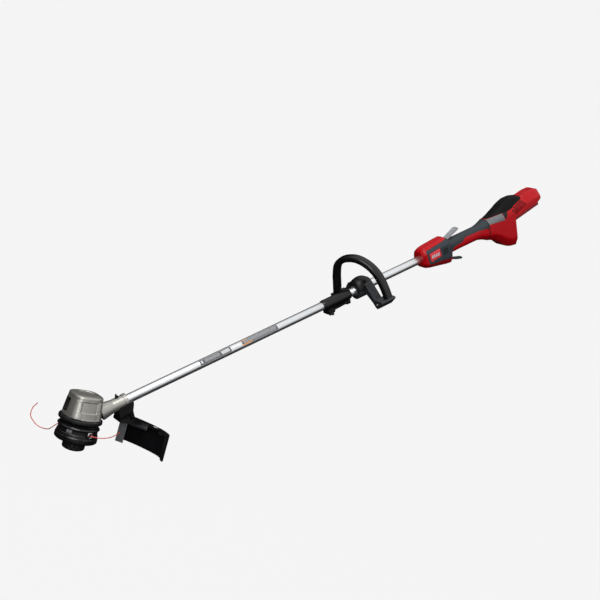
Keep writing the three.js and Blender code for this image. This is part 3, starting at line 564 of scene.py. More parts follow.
def make_spool_head():
    drum = turned("spool_drum", [
        (0, 47.3), (53.5, 47.3), (51.5, 49.2), (51.5, 59.5), (55, 62.5), (55, 64), (52, 67.5), (47.5, 69),
        (46, 71.5), (44, 73.4), (30, 75), (0, 75)], 144, 0.8)
    bosses = []
    for side in (1, -1):
        boss = rod("eyelet_boss", outwards(40, side), outwards(55.6, side), 11, 10.4, 64)
        bosses.append(common(boss, block("level", (-70, -70, 47.3), (70, 70, 75))))
    join(drum, *bosses)
    cutters = [turned("drum_room", [(0, 40), (48.2, 40), (48.2, 64.5), (0, 64.5)]),
               rod("drum_bore", (0, 0, 40), (0, 0, 80), 4.5, None, 32)]
    cutters += eyelet_holes()
    for i in WINDOWS:
        window = raised("window", rounded([(44, -8), (60, -8), (60, 8), (44, 8)], 1.5), 50.4, 59.4)
        cutters.append(turned_about_z(window, EYELET_DEGREES + 60 * i))
    show(edged(cut(drum, *cutters), 0.35, 2), "spool_head", "gloss", ["spool_housing"])

    plates = []
    for i in WINDOWS:
        plate = raised("window_plate", rounded([(46.5, -8.6), (50.4, -8.6), (50.4, 8.6), (46.5, 8.6)], 1.2),
                       49.8, 60)
        plates.append(edged(turned_about_z(plate, EYELET_DEGREES + 60 * i), 0.4, 2))
    show(merged("window_plates", plates), "spool_head", "grey")

    cover = turned("spool_cover_shell", [
        (0, 21), (38, 21), (45, 23.4), (52, 26), (55.5, 29), (55.5, 39.4), (53.5, 42), (53.5, 47), (0, 47)],
                   144, 1.0)
    holes = [turned("cover_room", [(0, 25), (48.2, 30), (48.2, 50), (0, 50)]),
             rod("cover_mouth", (0, 0, 10), (0, 0, 60), 30.5, None, 96)]
    holes += eyelet_holes()
    for i in range(8):
        notch = raised("notch", rounded([(54, -4), (60, -5), (60, 5), (54, 4)], 0.6), 20, 50)
        holes.append(turned_about_z(notch, 45 * i + 32))
    show(edged(cut(cover, *holes), 0.5, 2), "spool_head", "gloss", ["spool_cover"])

    for label, side in (("left", 1), ("right", -1)):
        ferrule = turned(f"eyelet_ferrule_{label}",
                         [(4.6, 47.5), (8.3, 47.5), (8.3, 56.2), (7.6, 57.5), (5.6, 57.5),
                                                     (4.6, 56), (4.6, 47.5)], 64, 0.5)
        turn = Vector((0, 0, 1)).rotation_difference(Vector(outwards(1, side)) - Vector((0, 0, LINE_HEIGHT)))
        ferrule.data.transform(Matrix.Translation((0, 0, LINE_HEIGHT * MM)) @ turn.to_matrix().to_4x4())
        show(ferrule, "spool_head", "steel", [f"eyelet_{label}"])

    knob = turned("bump_knob_cap", [(0, 0), (22, 0), (27.5, 2.6), (29.5, 6), (29.5, 34), (25, 34), (24, 6),
                                    (12.5, 5.5), (12.5, 56), (8, 56), (8, 5), (0, 5)], 144, 0.7)
    flutes = [turned_about_z(rod("flute", (31.6, 0, 4), (31.6, 0, 19), 3.6, None, 24), 22.5 * i)
              for i in range(16)]
    flutes.append(turned("knob_ring", [(18.6, -1), (19.4, -1), (19.4, 0.5), (18.6, 0.5), (18.6, -1)], 96))
    show(edged(cut(knob, *flutes), 0.4, 2), "bump", "black", ["bump_knob"])


# ---------------- guard

WALL_LINE = [(188, -120), (202, -113), (210, -98), (213, -72), (209, -44), (200, -14), (189, 14), (176, 40),
             (160, 64)]
FRONT_LINE = [(136, 47), (186, -25)]
DECK_TOP = 90
GUARD_SCREWS = {"left": (118, -11), "right": (118, 11)}
BLADE_SCREW = (15.5, 80)  # along the strip, height


def offset_sheet(name, line, thickness, bottom, top, corner=0.0):
    """A wall that follows a plan line; its free bottom corners are rounded off."""
    path = [Vector((*p, 0)) for p in line]
    lengths = [0.0]
    for a, b in zip(path, path[1:]):
        lengths.append(lengths[-1] + (b - a).length)
    rings = []
    for i, p in enumerate(path):
        run = (path[min(i + 1, len(path) - 1)] - path[max(i - 1, 0)]).normalized()
        inner = p + Vector((-run.y, run.x, 0)) * thickness
        near_end = min(lengths[i], lengths[-1] - lengths[i])
        lift = 0.0
        if corner and near_end < corner:
            lift = corner - math.sqrt(max(0.0, corner ** 2 - (corner - near_end) ** 2))
        low = bottom + lift
        rings.append([(p.x, p.y, low), (p.x, p.y, top), (inner.x, inner.y, top), (inner.x, inner.y, low)])
    return skin(name, rings)


def on_strip(s, d, z):
    """A point on the guard's front strip: s along it, d behind its face."""
    (x0, y0), (x1, y1) = FRONT_LINE
    long = math.hypot(x1 - x0, y1 - y0)
    ux, uy = (x1 - x0) / long, (y1 - y0) / long
    return (x0 + ux * s - uy * d, y0 + uy * s + ux * d, z)


def blade_screw(name, near, far, r0, r1=None, segments=24):
    """Round bar on the blade screw's axis, between two depths behind the strip's face."""
    s, z = BLADE_SCREW
    return rod(name, on_strip(s, near, z), on_strip(s, far, z), r0, r1, segments)


def guard_screw(name, side, low, high, r0, r1=None, segments=24):
    """Upright round bar on a guard screw's axis."""
    return rod(name, (*GUARD_SCREWS[side], low), (*GUARD_SCREWS[side], high), r0, r1, segments)


def make_guard():
    wall_curve = [(p.x, p.y) for p in catmull([(*p, 0) for p in WALL_LINE], 8)]
    wall = offset_sheet("guard_shell", wall_curve, 3, 20, 89.5, corner=16)
    deck_line = wall_curve + rounded([(136, 47), (110, 34), (104, 20), (104, -20), (168, -21), (184, -30),
                                     (196, -62), (196, -98), (187, -112)], 5)
    deck = raised("guard_deck", deck_line, DECK_TOP - 4, DECK_TOP)
    ribs = [offset_sheet("guard_rib", line, 2, 78, 87) for line in
            ([(209, -86), (194, -72)], [(198, -15), (160, 10)])]
    cut(deck, *[guard_screw("screw_hole", side, 80, 95, 2.3) for side in GUARD_SCREWS])
    wall = merged("guard_body", [wall, edged(deck, 0.8, 3), *ribs])
    strip = offset_sheet("guard_strip", FRONT_LINE, 2.9, 72.4, 85.6)
    cut(strip, blade_screw("blade_hole", -8, 12, 2.3))
    show(edged(wall, 0.8, 3), "boom", "gloss", ["guard"])
    show(edged(strip, 0.5, 2), "boom", "slate")

    plan = [on_strip(s, d, 0)[:2] for s, d in ((4, 3.3), (27, 3.3), (27, 4.9), (4, 4.9))]
    blade = raised("line_cutter", plan, 17, 85)
    cut(blade, blade_screw("hole", -8, 12, 2.3))
    show(edged(blade, 0.25, 2), "boom", "grey", ["cutter_blade"], "steel")
    head = join(blade_screw("blade_screw_fine", -3.5, -GAP, 3.6, 4.2, 32), blade_screw("stem", -1, 8, 2))
    cut(head, blade_screw("socket", -4, -1.8, 1.9, None, 6))
    show(edged(head, 0.2, 2), "boom", "zinc", ["blade_screw"])
    for side in GUARD_SCREWS:
        head = join(guard_screw(f"guard_screw_{side}_fine", side, 82.7, 85.7, 3.6, 4, 32),
                    guard_screw("stem", side, 85, 97.5, 1.5))
        cut(head, guard_screw("socket", side, 82, 84.2, 1.8, None, 6))
        show(edged(head, 0.2, 2), "boom", "zinc", [f"guard_screw_{side}"])

    lip = [Vector(p) for p in ((189.5, -118, 88), (189.5, -118, 60), (190, -117.5, 38), (193, -116, 28),
                               (199, -112.5, 22.5))]
    bead = swept("guard_lip", catmull(lip, 8), superellipse(2.3, 2.0, 2, 20), (0.8, 0.6, 0))
    show(bead, "boom", "gloss")
    pad = raised("guard_pad", rounded([(192, -47), (204, -50), (206, -38), (194, -35)], 2), DECK_TOP - 0.1,
                 DECK_TOP + 0.6)
    show(edged(pad, 0.2, 2), "boom", "silver")

    outline = rounded([(95, 112), (97, 126), (127, 148.5), (131, 140), (134, 122), (143, 106), (168, 94),
                       (168, DECK_TOP + GAP), (104, DECK_TOP + GAP), (100, 104)], 3)
    saddle = sideways("guard_saddle", outline, -19, 19)
    rooms = [rod("room", along_boom(60), along_boom(94), 24.4, 18, 64),
             rod("room", along_boom(93), along_boom(137.4), 18, None, 64),
             rod("room", along_boom(126.6), along_boom(137.4), 19.4, None, 64),
             rod("room", along_boom(130), along_boom(170), TUBE_R + GAP, None, 64)]
    hollow = rounded([(112, 94), (138, 94), (129, 112), (118, 112)], 3)
    for room in rooms:
        cut(saddle, room)
    cut(saddle, sideways("hollow", hollow, -30, -15), sideways("hollow", hollow, 15, 30),
        *[guard_screw("hole", side, 80, 98, 1.8, None, 20) for side in GUARD_SCREWS])
    show(edged(saddle, 0.7, 3), "boom", "gloss", ["guard_bracket"])


# ---------------- boom and coupler

KNOB_T, KNOB_V = 812, -22
BUTTON_T = 906
FILM_STEP = 0.05  # each print lies this much above the one below it


def on_knob(name, near, far, r0, r1=None, segments=32):
    """Round bar across the boom on the coupler knob's axis."""
    return rod(name, (KNOB_T, near, KNOB_V), (KNOB_T, far, KNOB_V), r0, r1, segments)


def make_boom():
    for name, t0, t1 in (("lower_shaft", 84, SPLIT - GAP / 2), ("upper_shaft", SPLIT + GAP / 2, TUBE_END)):
        bore = TUBE_R - 1.5
        pipe = turned(f"{name}_tube", [(bore, t0), (TUBE_R - 0.3, t0), (TUBE_R, t0 + 0.5), (TUBE_R, t1 - 0.5),
                                       (TUBE_R - 0.3, t1), (bore, t1), (bore, t0)], 96, axis="X")
        if name == "upper_shaft":
            cut(pipe, bar("button_hole", (BUTTON_T, -20, 0), (BUTTON_T, 0, 0), 4.3))
        show(pipe, "boom", "tube", [name])

    def sticker(name, t0, t1, middle, spread, material, lift=0.0):
        """A printed film on the tube: middle and spread are degrees round it from the top."""
        arc = [math.radians(middle - spread + 2 * spread * k / 16) for k in range(17)]
        rings = []
        for t in (t0, t1):
            ring = []
            for r, angles in ((TUBE_R + 0.02 + lift, arc), (TUBE_R + 0.12 + lift, arc[::-1])):
                ring += [(t, r * math.sin(a), r * math.cos(a)) for a in angles]
            rings.append(ring)
        show(skin(name, rings), "boom", material)

    prints = {
        "warning_film": [(363, 465, -50, 34, "label"), (367, 373, -50, 20, "label_light"),
                         (379, 428, -50, 22, "label_mid"), (434, 460, -50, 22, "label_light")],
        "rating_film": [(503, 625, -50, 34, "label"), (508, 620, -50, 27, "label_mid"),
                        (503, 534, -76, 8, "label_amber"), (503, 522, -20, 4, "label_amber")],
    }
    for name, areas in prints.items():
        for i, (*area, key) in enumerate(areas):
            sticker(f"{name}_{i}", *area, key, FILM_STEP * i)

    sleeve = turned("coupler_body", [(0, 795), (15.2, 795), (16.2, 798), (16.2, 893), (15.2, 896), (0, 896)],
                    96, 0.6, "X")
    flange = sideways("flange", rounded([(799, -12), (799, -27), (806, -31), (824, -31), (832, -26), (872, -24),
                                         (878, -28), (892, -28), (892, -12)], 3), -8, 8)
    lump = bar("lump", (885, -10.5, -21), (885, 10.5, -21), 5)
    for part in (flange, lump):
        join(sleeve, part)
    cut(sleeve, bar("bore", (780, 0, 0), (910, 0, 0), 13.02, 96),
        block("slit", (790, -1.4, -40), (868, 1.4, -11)), on_knob("hole", -40, 40, 3.3))
    show(edged(sleeve, 0.5, 2), "boom", "gloss", ["coupler_sleeve"], "gloss_black")

    hub = on_knob("coupler_wing_knob", -19, -9.8, 8.0, 8.5, 48)
    lobes = []
    for i in range(5):
        a = 2 * math.pi * i / 5
        t, v = KNOB_T + 8 * math.cos(a), KNOB_V + 8 * math.sin(a)
        lobes.append(rod("lobe", (t, -20, v), (t, -14, v), 3.9, 4.2, 32))
    join(hub, *lobes, on_knob("washer", -10, -8.3, 5), on_knob("stud", -12, 8, 3))
    show(edged(hub, 0.6, 3), "coupler_knob", "black", ["coupler_knob"])

    button = turned("release_button", [(0, -15.6), (2.8, -15.4), (3.8, -14.6), (4, -13.5), (4, -10.2),
                                       (4.6, -10.2), (4.6, -8.9), (0, -8.9)], 48, 0.2, "Y", (BUTTON_T, 0, 0))
    show(button, "snap_button", "steel", ["snap_button"])


# ---------------- loop handle

CLAMP_MID = 944
LOOP_TURN = math.radians(20)
BOLTS = [(CLAMP_MID, -21.5), (CLAMP_MID, 21.5)]
FOOT_C, FOOT_V = 76, -37  # the loop's foot screws


def at_bolts(low, high, radius, segments=32):
    return [bar("bolt_room", (t, c, low), (t, c, high), radius, segments) for t, c in BOLTS]


def make_handle():
    path = catmull([(0, -d, v) for d, v in (
        (-90, -32), (-88, -14), (-84, 12), (-79, 42), (-68, 73), (-47, 89), (-21, 95), (2, 94), (24, 86),
        (44, 73), (61, 55), (73, 34), (82, 9), (88, -16), (91, -32))], 10)
    section = superellipse(15.8, 10.3, 2.7, 48)
    loop = swept("loop_grip", path, section, (1, 0, 0))
    turn = Matrix.Translation((CLAMP_MID * MM, 0, 0)) @ Matrix.Rotation(LOOP_TURN, 4, "Z")
    loop.data.transform(BOOM @ turn @ BOOM.inverted())
    cut(loop, block("foot_plane", (800, -200, -80), (1100, 200, -23.7)))
    show(loop, "handle", "gloss", ["handle_loop"], "gloss_black", angle=50)

    arm = [(10, 0), (22, 20), (30, 19), (64, -24), (97, -24), (98, -30), (74, -52), (66, -49), (56, -36),
           (24, -8), (16, -22)]
    foot = [(62, -24), (97, -24), (98, -30), (74, -52), (66, -49), (58, -38)]

    def across(name, outline, side, t0, t1):
        return skin(name, [[(t, side * c, v) for c, v in rounded(outline, 1.5)] for t in (t0, t1)])

    base = common(bar("clamp_half", (917, 0, 0), (971, 0, 0), 27, 96),
                  block("low", (0, -60, -60), (2000, 60, -0.15)))
    cap_stations = [(915, 21, 23), (921, 26, 31), (938, 27.5, 37), (956, 26.5, 35), (973, 22, 25)]
    cap_path = catmull(cap_stations, 4)

    def cap_shape(name, grow, floor):
        rings = [[(t, (w + grow) * math.cos(a), floor + (h + grow) * math.sin(a) ** 0.8)
                  for a in (math.pi * i / 32 for i in range(33))] for t, w, h in cap_path]
        return skin(name, rings)

    arms = join(across("near_arm", arm, -1, 938, 966), across("near_foot", foot, -1, 938, 992),
                across("far_arm", arm, 1, 920, 948), across("far_foot", foot, 1, 896, 948))
    cut(arms, cap_shape("cap_room", GAP, -0.15), block("cap_room2", (912, -21, -0.15), (976, 21, 22)),
        block("middle", (900, -14, -60), (990, 14, 60)))
    join(base, arms)
    cut(base, bar("liner_room", (900, 0, 0), (990, 0, 0), 15.8, 96),
        bar("foot_hole", (930, -FOOT_C, FOOT_V), (962, -FOOT_C, FOOT_V), 2.2, 24),
        bar("foot_hole", (890, FOOT_C, FOOT_V), (920, FOOT_C, FOOT_V), 2.2, 24),
        *at_bolts(-40, 20, 2.4, 24), *at_bolts(11.5, 40, 4.8))
    show(edged(base, 0.6, 3), "handle", "slate", ["handle_base"])

    cap = cap_shape("clamp_cap", 0, 0.15)
    cut(cap, bar("liner_room", (900, 0, 0), (990, 0, 0), 15.8, 96), *at_bolts(-5, 40, 2.4, 24),
        *at_bolts(12, 40, 4.6))
    show(edged(cap, 0.7, 3), "handle", "black", ["handle_cap"])

    liner = turned("clamp_bush", [(13, 915), (15.5, 915), (15.5, 973), (13, 973), (13, 915)], 96, 0.4, "X")
    show(liner, "handle_carriage", "grey", ["clamp_liner"])
    for label, (t, c) in zip(("left", "right"), BOLTS):
        bolt = turned(f"clamp_bolt_{label}_fine", [(0, -14), (2, -14), (2, 12.3), (4.2, 12.3), (4.2, 15.4),
                                                   (3.6, 16), (0, 16)], 48, 0.2, "Z", (t, c, 0))
        cut(bolt, bar("socket", (t, c, 13.8), (t, c, 17), 2, 6))
        show(bolt, "handle", "zinc", [f"clamp_bolt_{label}"])
    for label, side, t in (("left", -1, 938), ("right", 1, 896)):
        head = rod(f"foot_screw_{label}", (t - 3.2, side * FOOT_C, FOOT_V), (t - GAP, side * FOOT_C, FOOT_V),
                   3.6, 4, 32)
        join(head, bar("stem", (t - 1, side * FOOT_C, FOOT_V), (t + 20, side * FOOT_C, FOOT_V), 1.9, 24))
        cut(head, bar("socket", (t - 4, side * FOOT_C, FOOT_V), (t - 1.6, side * FOOT_C, FOOT_V), 1.8, 6))
        show(edged(head, 0.2, 2), "handle", "zinc", [f"handle_screw_{label}"])


# ---------------- housing

# station = (along, half_width, top, bottom, top_half, bottom_half, side_top, side_bottom, softness)
FRONT = [
    (1181, 22, 26, -20, 12, 12, 12, -10, 0.2), (1189, 29, 34, -29, 14, 14, 20, -16, 0.12),
    (1206, 32, 37, -34, 14, 15, 22, -18, 0.1), (1255, 32, 41, -43, 14, 16, 24, -24, 0.1),
    (1280, 31, 43, -48, 13, 16, 24, -28, 0.12), (1293, 27, 36, -50, 11, 15, 18, -29, 0.2),
    (1303, 22, 27, -51, 9, 14, 13, -30, 0.3), (1306, 19, 25, -24, 8, 8, 11, -11, 0.45),
    (1345, 18, 24, -23, 8, 8, 11, -11, 0.5), (1425, 18.5, 24, -23, 8, 8, 11, -11, 0.5),
    (1446, 22, 28, -28, 9, 9, 13, -13, 0.45), (1468.2, 26.8, 33.8, -37.6, 12, 12, 18.8, -18.8, 0.3),
]
BODY = [
    (1471.8, 27.2, 34.2, -38.4, 12, 12, 19, -19.2, 0.3), (1490, 30, 38, -45, 13, 14, 20, -22, 0.22),
    (1512, 33, 46, -58, 15, 17, 24, -32, 0.18), (1532, 36, 54, -78, 16, 20, 27, -48, 0.15),
    (1552, 39, 63, -88, 17, 24, 30, -60, 0.12), (1576, 43, 69, -90, 18, 30, 33, -62, 0.1),
]
BODY_ROOM = BODY[:4] + [(1543, 37, 58, -83, 16.5, 22, 28, -54, 0.13)]
TAIL = [
    (1545, 34, 60, 2, 17, 30, 30, 6, 0.12), (1576, 36, 69, 2, 18, 32, 33, 6, 0.12),
    (1604, 36, 69, 5, 18, 32, 36, 9, 0.12), (1638, 35, 60, 11, 18, 31, 36, 15, 0.12),
    (1672, 34, 66, 16, 18, 30, 40, 20, 0.12), (1700, 33, 66, 20, 17.5, 29, 41, 24, 0.12),
    (1713, 30, 60, 25, 15, 26, 38, 29, 0.15),
]
WALL = 4.2
GRIP_REGION = [(1192, 28), (1285, 37), (1292, 60), (1480, 60), (1480, 7), (1433, 10), (1372, 11), (1361, 7),
               (1356, 0), (1320, -3), (1308, -12), (1301, -27), (1290, -31), (1264, -24), (1197, -17)]
BADGE_REGION = [(1199, 19), (1245, 23), (1249, -5), (1204, -11)]
DOME_REGION = [(1465, 34.4), (1475, 34.6), (1529, 38.6), (1550, 38.4), (1628, 57), (1628, 90), (1465, 90)]
PANEL_REGION = [(1465, 34), (1475, 34), (1529, 38), (1534, 15), (1475, 18), (1465, 18.5)]
TAB_REGION = [(1530, 39), (1549, 38), (1536, 15)]
LEVER_PIVOT = (1292, 24)
TRIGGER_PIVOT = (1296, -38)
PIN_HOLE = 1.9
SEAM_WINDOW = (1464, -12, -12), (1475, 12, 12)


def housing(name, stations, inset=0.0, start=0.0, end=0.0, reach=7.0):
    """Skin through the stations; every corner of a section and every change of slope is eased."""
    rows = [Vector(stations[0])]
    for before, here, after in zip(stations, stations[1:], stations[2:]):
        before, here, after = Vector(before), Vector(here), Vector(after)
        a = here + (before - here) * min(0.45, reach / (here[0] - before[0]))
        b = here + (after - here) * min(0.45, reach / (after[0] - here[0]))
        rows += [a * (1 - u) ** 2 + here * 2 * u * (1 - u) + b * u * u for u in (0, 0.25, 0.5, 0.75, 1)]
    rows.append(Vector(stations[-1]))
    rows[0][0] += start
    rows[-1][0] -= end
    rings = []
    for t, w, top, bottom, top_half, bottom_half, side_top, side_bottom, soft in rows:
        k = inset * 0.6
        corners = [(bottom_half - k, bottom + inset), (w - inset, side_bottom + k), (w - inset, side_top - k),
                   (top_half - k, top - inset), (k - top_half, top - inset), (inset - w, side_top - k),
                   (inset - w, side_bottom + k), (k - bottom_half, bottom + inset)]
        ring = []
        for i, corner in enumerate(corners):
            p = Vector(corner)
            a = p + (Vector(corners[i - 1]) - p) * max(0.14, soft * 0.8)
            b = p + (Vector(corners[(i + 1) % 8]) - p) * max(0.14, soft * 0.8)
            for u in (0, 0.25, 0.5, 0.75, 1):
                q = a * (1 - u) ** 2 + p * 2 * u * (1 - u) + b * u * u
                ring.append((t, q.x, q.y))
        rings.append(ring)
    return skin(name, rings)


def layer(stations, top, bottom):
    """The part of a housing's wall between two depths below its outer face."""
    return cut(housing("layer", stations, top, -5, -5), housing("layer_room", stations, bottom, -5, -5))


def grown(outline, d):
    """The outline moved outwards by d, with mitred corners."""
    points = [Vector(p) for p in outline]
    area = sum(p.x * q.y - q.x * p.y for p, q in zip(points, points[1:] + points[:1]))
    sign = math.copysign(1, area)

    def normal(p, q):
        return Vector((q.y - p.y, p.x - q.x)).normalized() * sign

    out = []
    for i, p in enumerate(points):
        before, after = normal(points[i - 1], p), normal(p, points[(i + 1) % len(points)])
        out.append(p + (before + after) * (d / (1 + before.dot(after))))
    return out


def on_side(name, side, outline, near, far):
    """Prism on the left (-1) or the right (1), from near to far off the middle plane."""
    return sideways(name, outline, *sorted((side * near, side * far)))


def both_sides(name, outline, near, far):
    """The same prism on the left and on the right."""
    return merged(name, [on_side(name, side, outline, near, far) for side in (-1, 1)])


def halves(piece, label):
    """Splits a piece down the middle, with the parting gap."""
    out = []
    for side, low, high in (("left", -400, -GAP / 2), ("right", GAP / 2, 400)):
        half = copy_of(piece, f"{label}_{side}")
        out.append((side, common(half, block("half", (0, low, -400), (2000, high, 400)))))
    bpy.data.objects.remove(piece)
    return out


def through(name, pivot, reach, radius, segments=24):
    """Round bar across the housing, centred on a pivot."""
    t, v = pivot
    return bar(name, (t, -reach, v), (t, reach, v), radius, segments)


def make_front():
    outer = housing("front_skin", FRONT)
    under = housing("front_under", FRONT, SKIN, -5, -5)
    region = rounded(grown(GRIP_REGION, -GAP / 2), 5)
    badge = rounded(BADGE_REGION, 3)
    lever_slot = block("lever_slot", (1283, -8.5, 12), (1312, 8.5, 60))
    trigger_slot = block("trigger_slot", (1289, -6.5, -47), (1330, 6.5, -24))

    shell = cut(copy_of(outer, "front_shell"), housing("front_room", FRONT, WALL, WALL, -5))
    core = join(bar("tube_boss", (1183, 0, 0), (TUBE_END + 4, 0, 0), 17, 64),
                block("boss_web", (1189, -31, -2.5), (1240, 31, 2.5)),
                *[bar("pivot_boss", (p[0], s * 9, p[1]), (p[0], s * 40, p[1]), 4.5)
                  for p in (LEVER_PIVOT, TRIGGER_PIVOT) for s in (-1, 1)])
    join(shell, common(core, copy_of(under, "limit")))
    recess = cut(sideways("recess", grown(region, GAP), -60, 60),
                 both_sides("badge_pad", rounded(grown(BADGE_REGION, -GAP), 3), 20, 60),
                 housing("recess_floor", FRONT, SKIN + GAP, -5, -5))
    cut(shell, bar("tube_seat", (1150, 0, 0), (TUBE_END + GAP, 0, 0), TUBE_R + GAP, 96),
        bar("cable_way", (TUBE_END - 1, 0, 0), (1262, 0, 0), 6),
        copy_of(lever_slot, "slot_a"), copy_of(trigger_slot, "slot_b"),
        block("seam_window", *SEAM_WINDOW),
        through("pin_hole", LEVER_PIVOT, 14.3, PIN_HOLE), through("pin_hole", TRIGGER_PIVOT, 13.3, PIN_HOLE),
        recess)
    for side, half in halves(shell, "front_body"):
        show(edged(half, 0.5, 2), "boom", "red", [f"front_shell_{side}"])

    vents = []
    for i in range(3):
        t = 1257 + 8 * i
        vents.append([(t, 13 - i), (t + 4.6, 14 - i), (t + 6.4, 9), (t + 6.0, 0), (t + 3.6, -8), (t + 0.4, -8),
                      (t + 2.2, 0), (t + 2.4, 8)])
    cover = common(cut(outer, copy_of(under, "under_copy")), sideways("grip_area", region, -60, 60))
    cut(cover, both_sides("badge_window", badge, 20, 60), lever_slot, trigger_slot,
        *[both_sides("vent", rounded(v, 1.2), 26.5, 60) for v in vents])
    for side, half in halves(cover, "grip_cover"):
        show(edged(half, 0.55, 3), "boom", "grip", [f"grip_overmold_{side}"])

    # Black sheets at the bottom of the vent slots are painted shade: they stand for the shade inside the slots.
    shade_sheets = [both_sides("vent_floor", rounded(grown(v, -0.15), 1.1), 20, 60) for v in vents]
    floor = common(merged("vent_floors", shade_sheets), layer(FRONT, 1.5, SKIN))
    show(floor, "boom", "black")
    plate = common(both_sides("badge_plates", rounded(grown(BADGE_REGION, -1.2), 3), 20, 60),
                   layer(FRONT, -0.35, 0.02))
    show(edged(plate, 0.15, 2), "boom", "badge")
    bars = []
    for i in range(4):
        t = 1207.5 + 8.6 * i
        bars.append(both_sides("badge_bar", rounded([(t, 0), (t + 5.6, 0.6), (t + 7.4, 11), (t + 1.8, 10.4)],
                                                    1), 20, 60))
    stripe = common(merged("badge_bars", bars), layer(FRONT, -0.5, -0.34))
    show(stripe, "boom", "label_light", slot="red_shell")
    bpy.data.objects.remove(under)

    paddle = join(through("lever_paddle", LEVER_PIVOT, 7.5, 5, 48),
                  sideways("paddle", rounded([(1289, 27), (1291, 29.5), (1342, 51), (1350, 50.5), (1353, 45),
                                              (1348, 41.5), (1306, 27.5), (1294, 20.5)], 3), -7.5, 7.5))
    cut(paddle, through("pin_hole", LEVER_PIVOT, 20, PIN_HOLE),
        *[sideways("groove", rounded([(1310, 29.5), (1342, 42.5), (1344, 46.5), (1310, 32.5)], 1.2), *span)
          for span in ((-9, -6), (6, 9))])
    show(edged(paddle, 1.4, 4), "lever", "silver", ["lockout_lever"])

    blade = rounded([(1295, -34), (1306, -36.5), (1330, -46), (1356, -53.5), (1358, -57), (1353, -60),
                     (1330, -53.5), (1303, -43.5)], 2)
    finger = join(through("finger_trigger", TRIGGER_PIVOT, 5.5, 4.6, 48),
                  sideways("finger", blade, -5.5, 5.5),
                  sideways("spur", [(1292, -38), (1298, -36), (1296, -25), (1291, -25)], -5.5, 5.5))
    cut(finger, through("pin_hole", TRIGGER_PIVOT, 20, PIN_HOLE))
    show(edged(finger, 1.0, 4), "trigger", "grip", ["trigger"])


def make_rear():
    def rear(name, inset=0.0, body_start=0.0, body_end=0.0, tail_start=0.0, tail_end=0.0):
        return join(housing(name, BODY, inset, body_start, body_end),
                    housing("tail", TAIL, inset, tail_start, tail_end))

    outer = rear("rear_skin")
    shell = copy_of(outer, "rear_shell")
    cut(shell, housing("body_room", BODY_ROOM, WALL, -5, 0), housing("tail_room", TAIL, WALL, 8, WALL))
    for label, side in (("left", -1), ("right", 1)):
        rail = on_side("battery_rail_" + label, side, [(1578, -4.3), (1693, 14), (1693, 24), (1578, 8)], 29.5,
                       35.7)
        cut(rail, on_side("groove", side, [(1560, -2), (1710, 20), (1710, 17), (1560, -5)], 27, 33),
            *[on_side("rib_gap", side, [(t, -10), (t + 3, -10), (t + 3, 30), (t, 30)], 34.6, 40)
              for t in range(1584, 1690, 6)])
        show(edged(rail, 0.3, 2), "boom", "dark_red")
    bay = common(block("bay", (1548, -35, -80), (1590, 35, 2)), housing("bay_limit", BODY, WALL, -5, -5))
    cut(shell, bay, block("seam_window", *SEAM_WINDOW))
    floor = rear("recess_floor", SKIN + GAP, -5, 0, 0, -5)
    dome = rounded(grown(DOME_REGION, -GAP / 2), 3)
    panel = rounded(grown(PANEL_REGION, -GAP / 2), 2.5)
    cut(shell, cut(sideways("dome_recess", grown(dome, GAP), -70, 70), copy_of(floor, "floor_a")),
        cut(sideways("panel_recess", grown(panel, GAP), -70, 70), copy_of(floor, "floor_b")))

    hexes = []
    for row in range(4):
        for column in range(8):
            hexes.append((1569 + 7.2 * column + 5.6 * row, 35 + 2.3 * column - 5.1 * row))

    def hex_prisms(name, radius, near, far):
        return merged(name, [both_sides(name, [(t + radius * math.cos(math.radians(60 * k + 47.7)),
                                                v + radius * math.sin(math.radians(60 * k + 47.7)))
                                               for k in range(6)],
                                        near, far) for t, v in hexes])

    cut(shell, cut(hex_prisms("hex_pocket", 3.4, 12, 60), copy_of(floor, "floor_c")))
    shell_halves = halves(shell, "rear_body")
    for side, half in shell_halves:
        show(edged(half, 0.5, 2), "boom", "red", [f"rear_shell_{side}"])
    plugs = cut(common(hex_prisms("grille_floor", 3.3, 12, 60), rear("plug_top", 1.7, -5, 0, 0, -5)), floor)
    show(plugs, "boom", "black")

    under = rear("rear_under", SKIN, -5, 0, 0, -5)
    cap = cut(common(cut(copy_of(outer, "top_dome"), copy_of(under, "under_a")),
                     sideways("dome_area", dome, -70, 70)),
              sideways("panel_area", grown(panel, GAP), -70, 70))
    show(edged(cap, 0.6, 3), "boom", "dome", ["top_cover"])
    inlay = common(cut(outer, under), both_sides("panel_area", panel, 9, 70))
    for side, half in halves(inlay, "grey_inlay"):
        show(edged(half, 0.5, 3), "boom", "grey", [f"side_panel_{side}"])
    tabs = common(both_sides("panel_tab", rounded(TAB_REGION, 2), 20, 70), layer(BODY, -0.5, 0.05))
    show(edged(tabs, 0.2, 2), "boom", "black")

    ring = [(1468.5, 27.4, 34.4, -38.4, 12, 12, 19, -19, 0.3),
            (1471.5, 27.4, 34.4, -38.4, 12, 12, 19, -19, 0.3)]
    gasket = cut(housing("seam_gasket", ring), housing("gasket_room", ring, 4, -5, -5))
    show(edged(gasket, 0.6, 3), "boom", "black")


# ---------------- remaining CAD nodes

def make_insides():
    """Nodes that keep their CAD mesh get their materials."""
    keys = {
        "lower_harness": "black", "upper_harness": "black", "neck_screw": "black", "lower_bearing": "steel",
        "upper_bearing": "steel", "stator_core": "steel", "stator_windings": "copper", "rotor_core": "zinc",
        "motor_spindle": "steel", "cooling_fan": "black", "drive_nut": "zinc", "line_spool": "slate",
        "wound_line": "line", "bump_spring": "steel", "snap_spring": "steel", "lever_pin": "steel",
        "trigger_pin": "steel", "power_switch": "black", "terminal_block": "slate", "controller_board": "board",
    }
    for node, key in keys.items():
        piece = bpy.data.objects[node]
        piece.data.materials.clear()
        piece.data.materials.append(MATERIALS[key])


# ---------------- light and floor

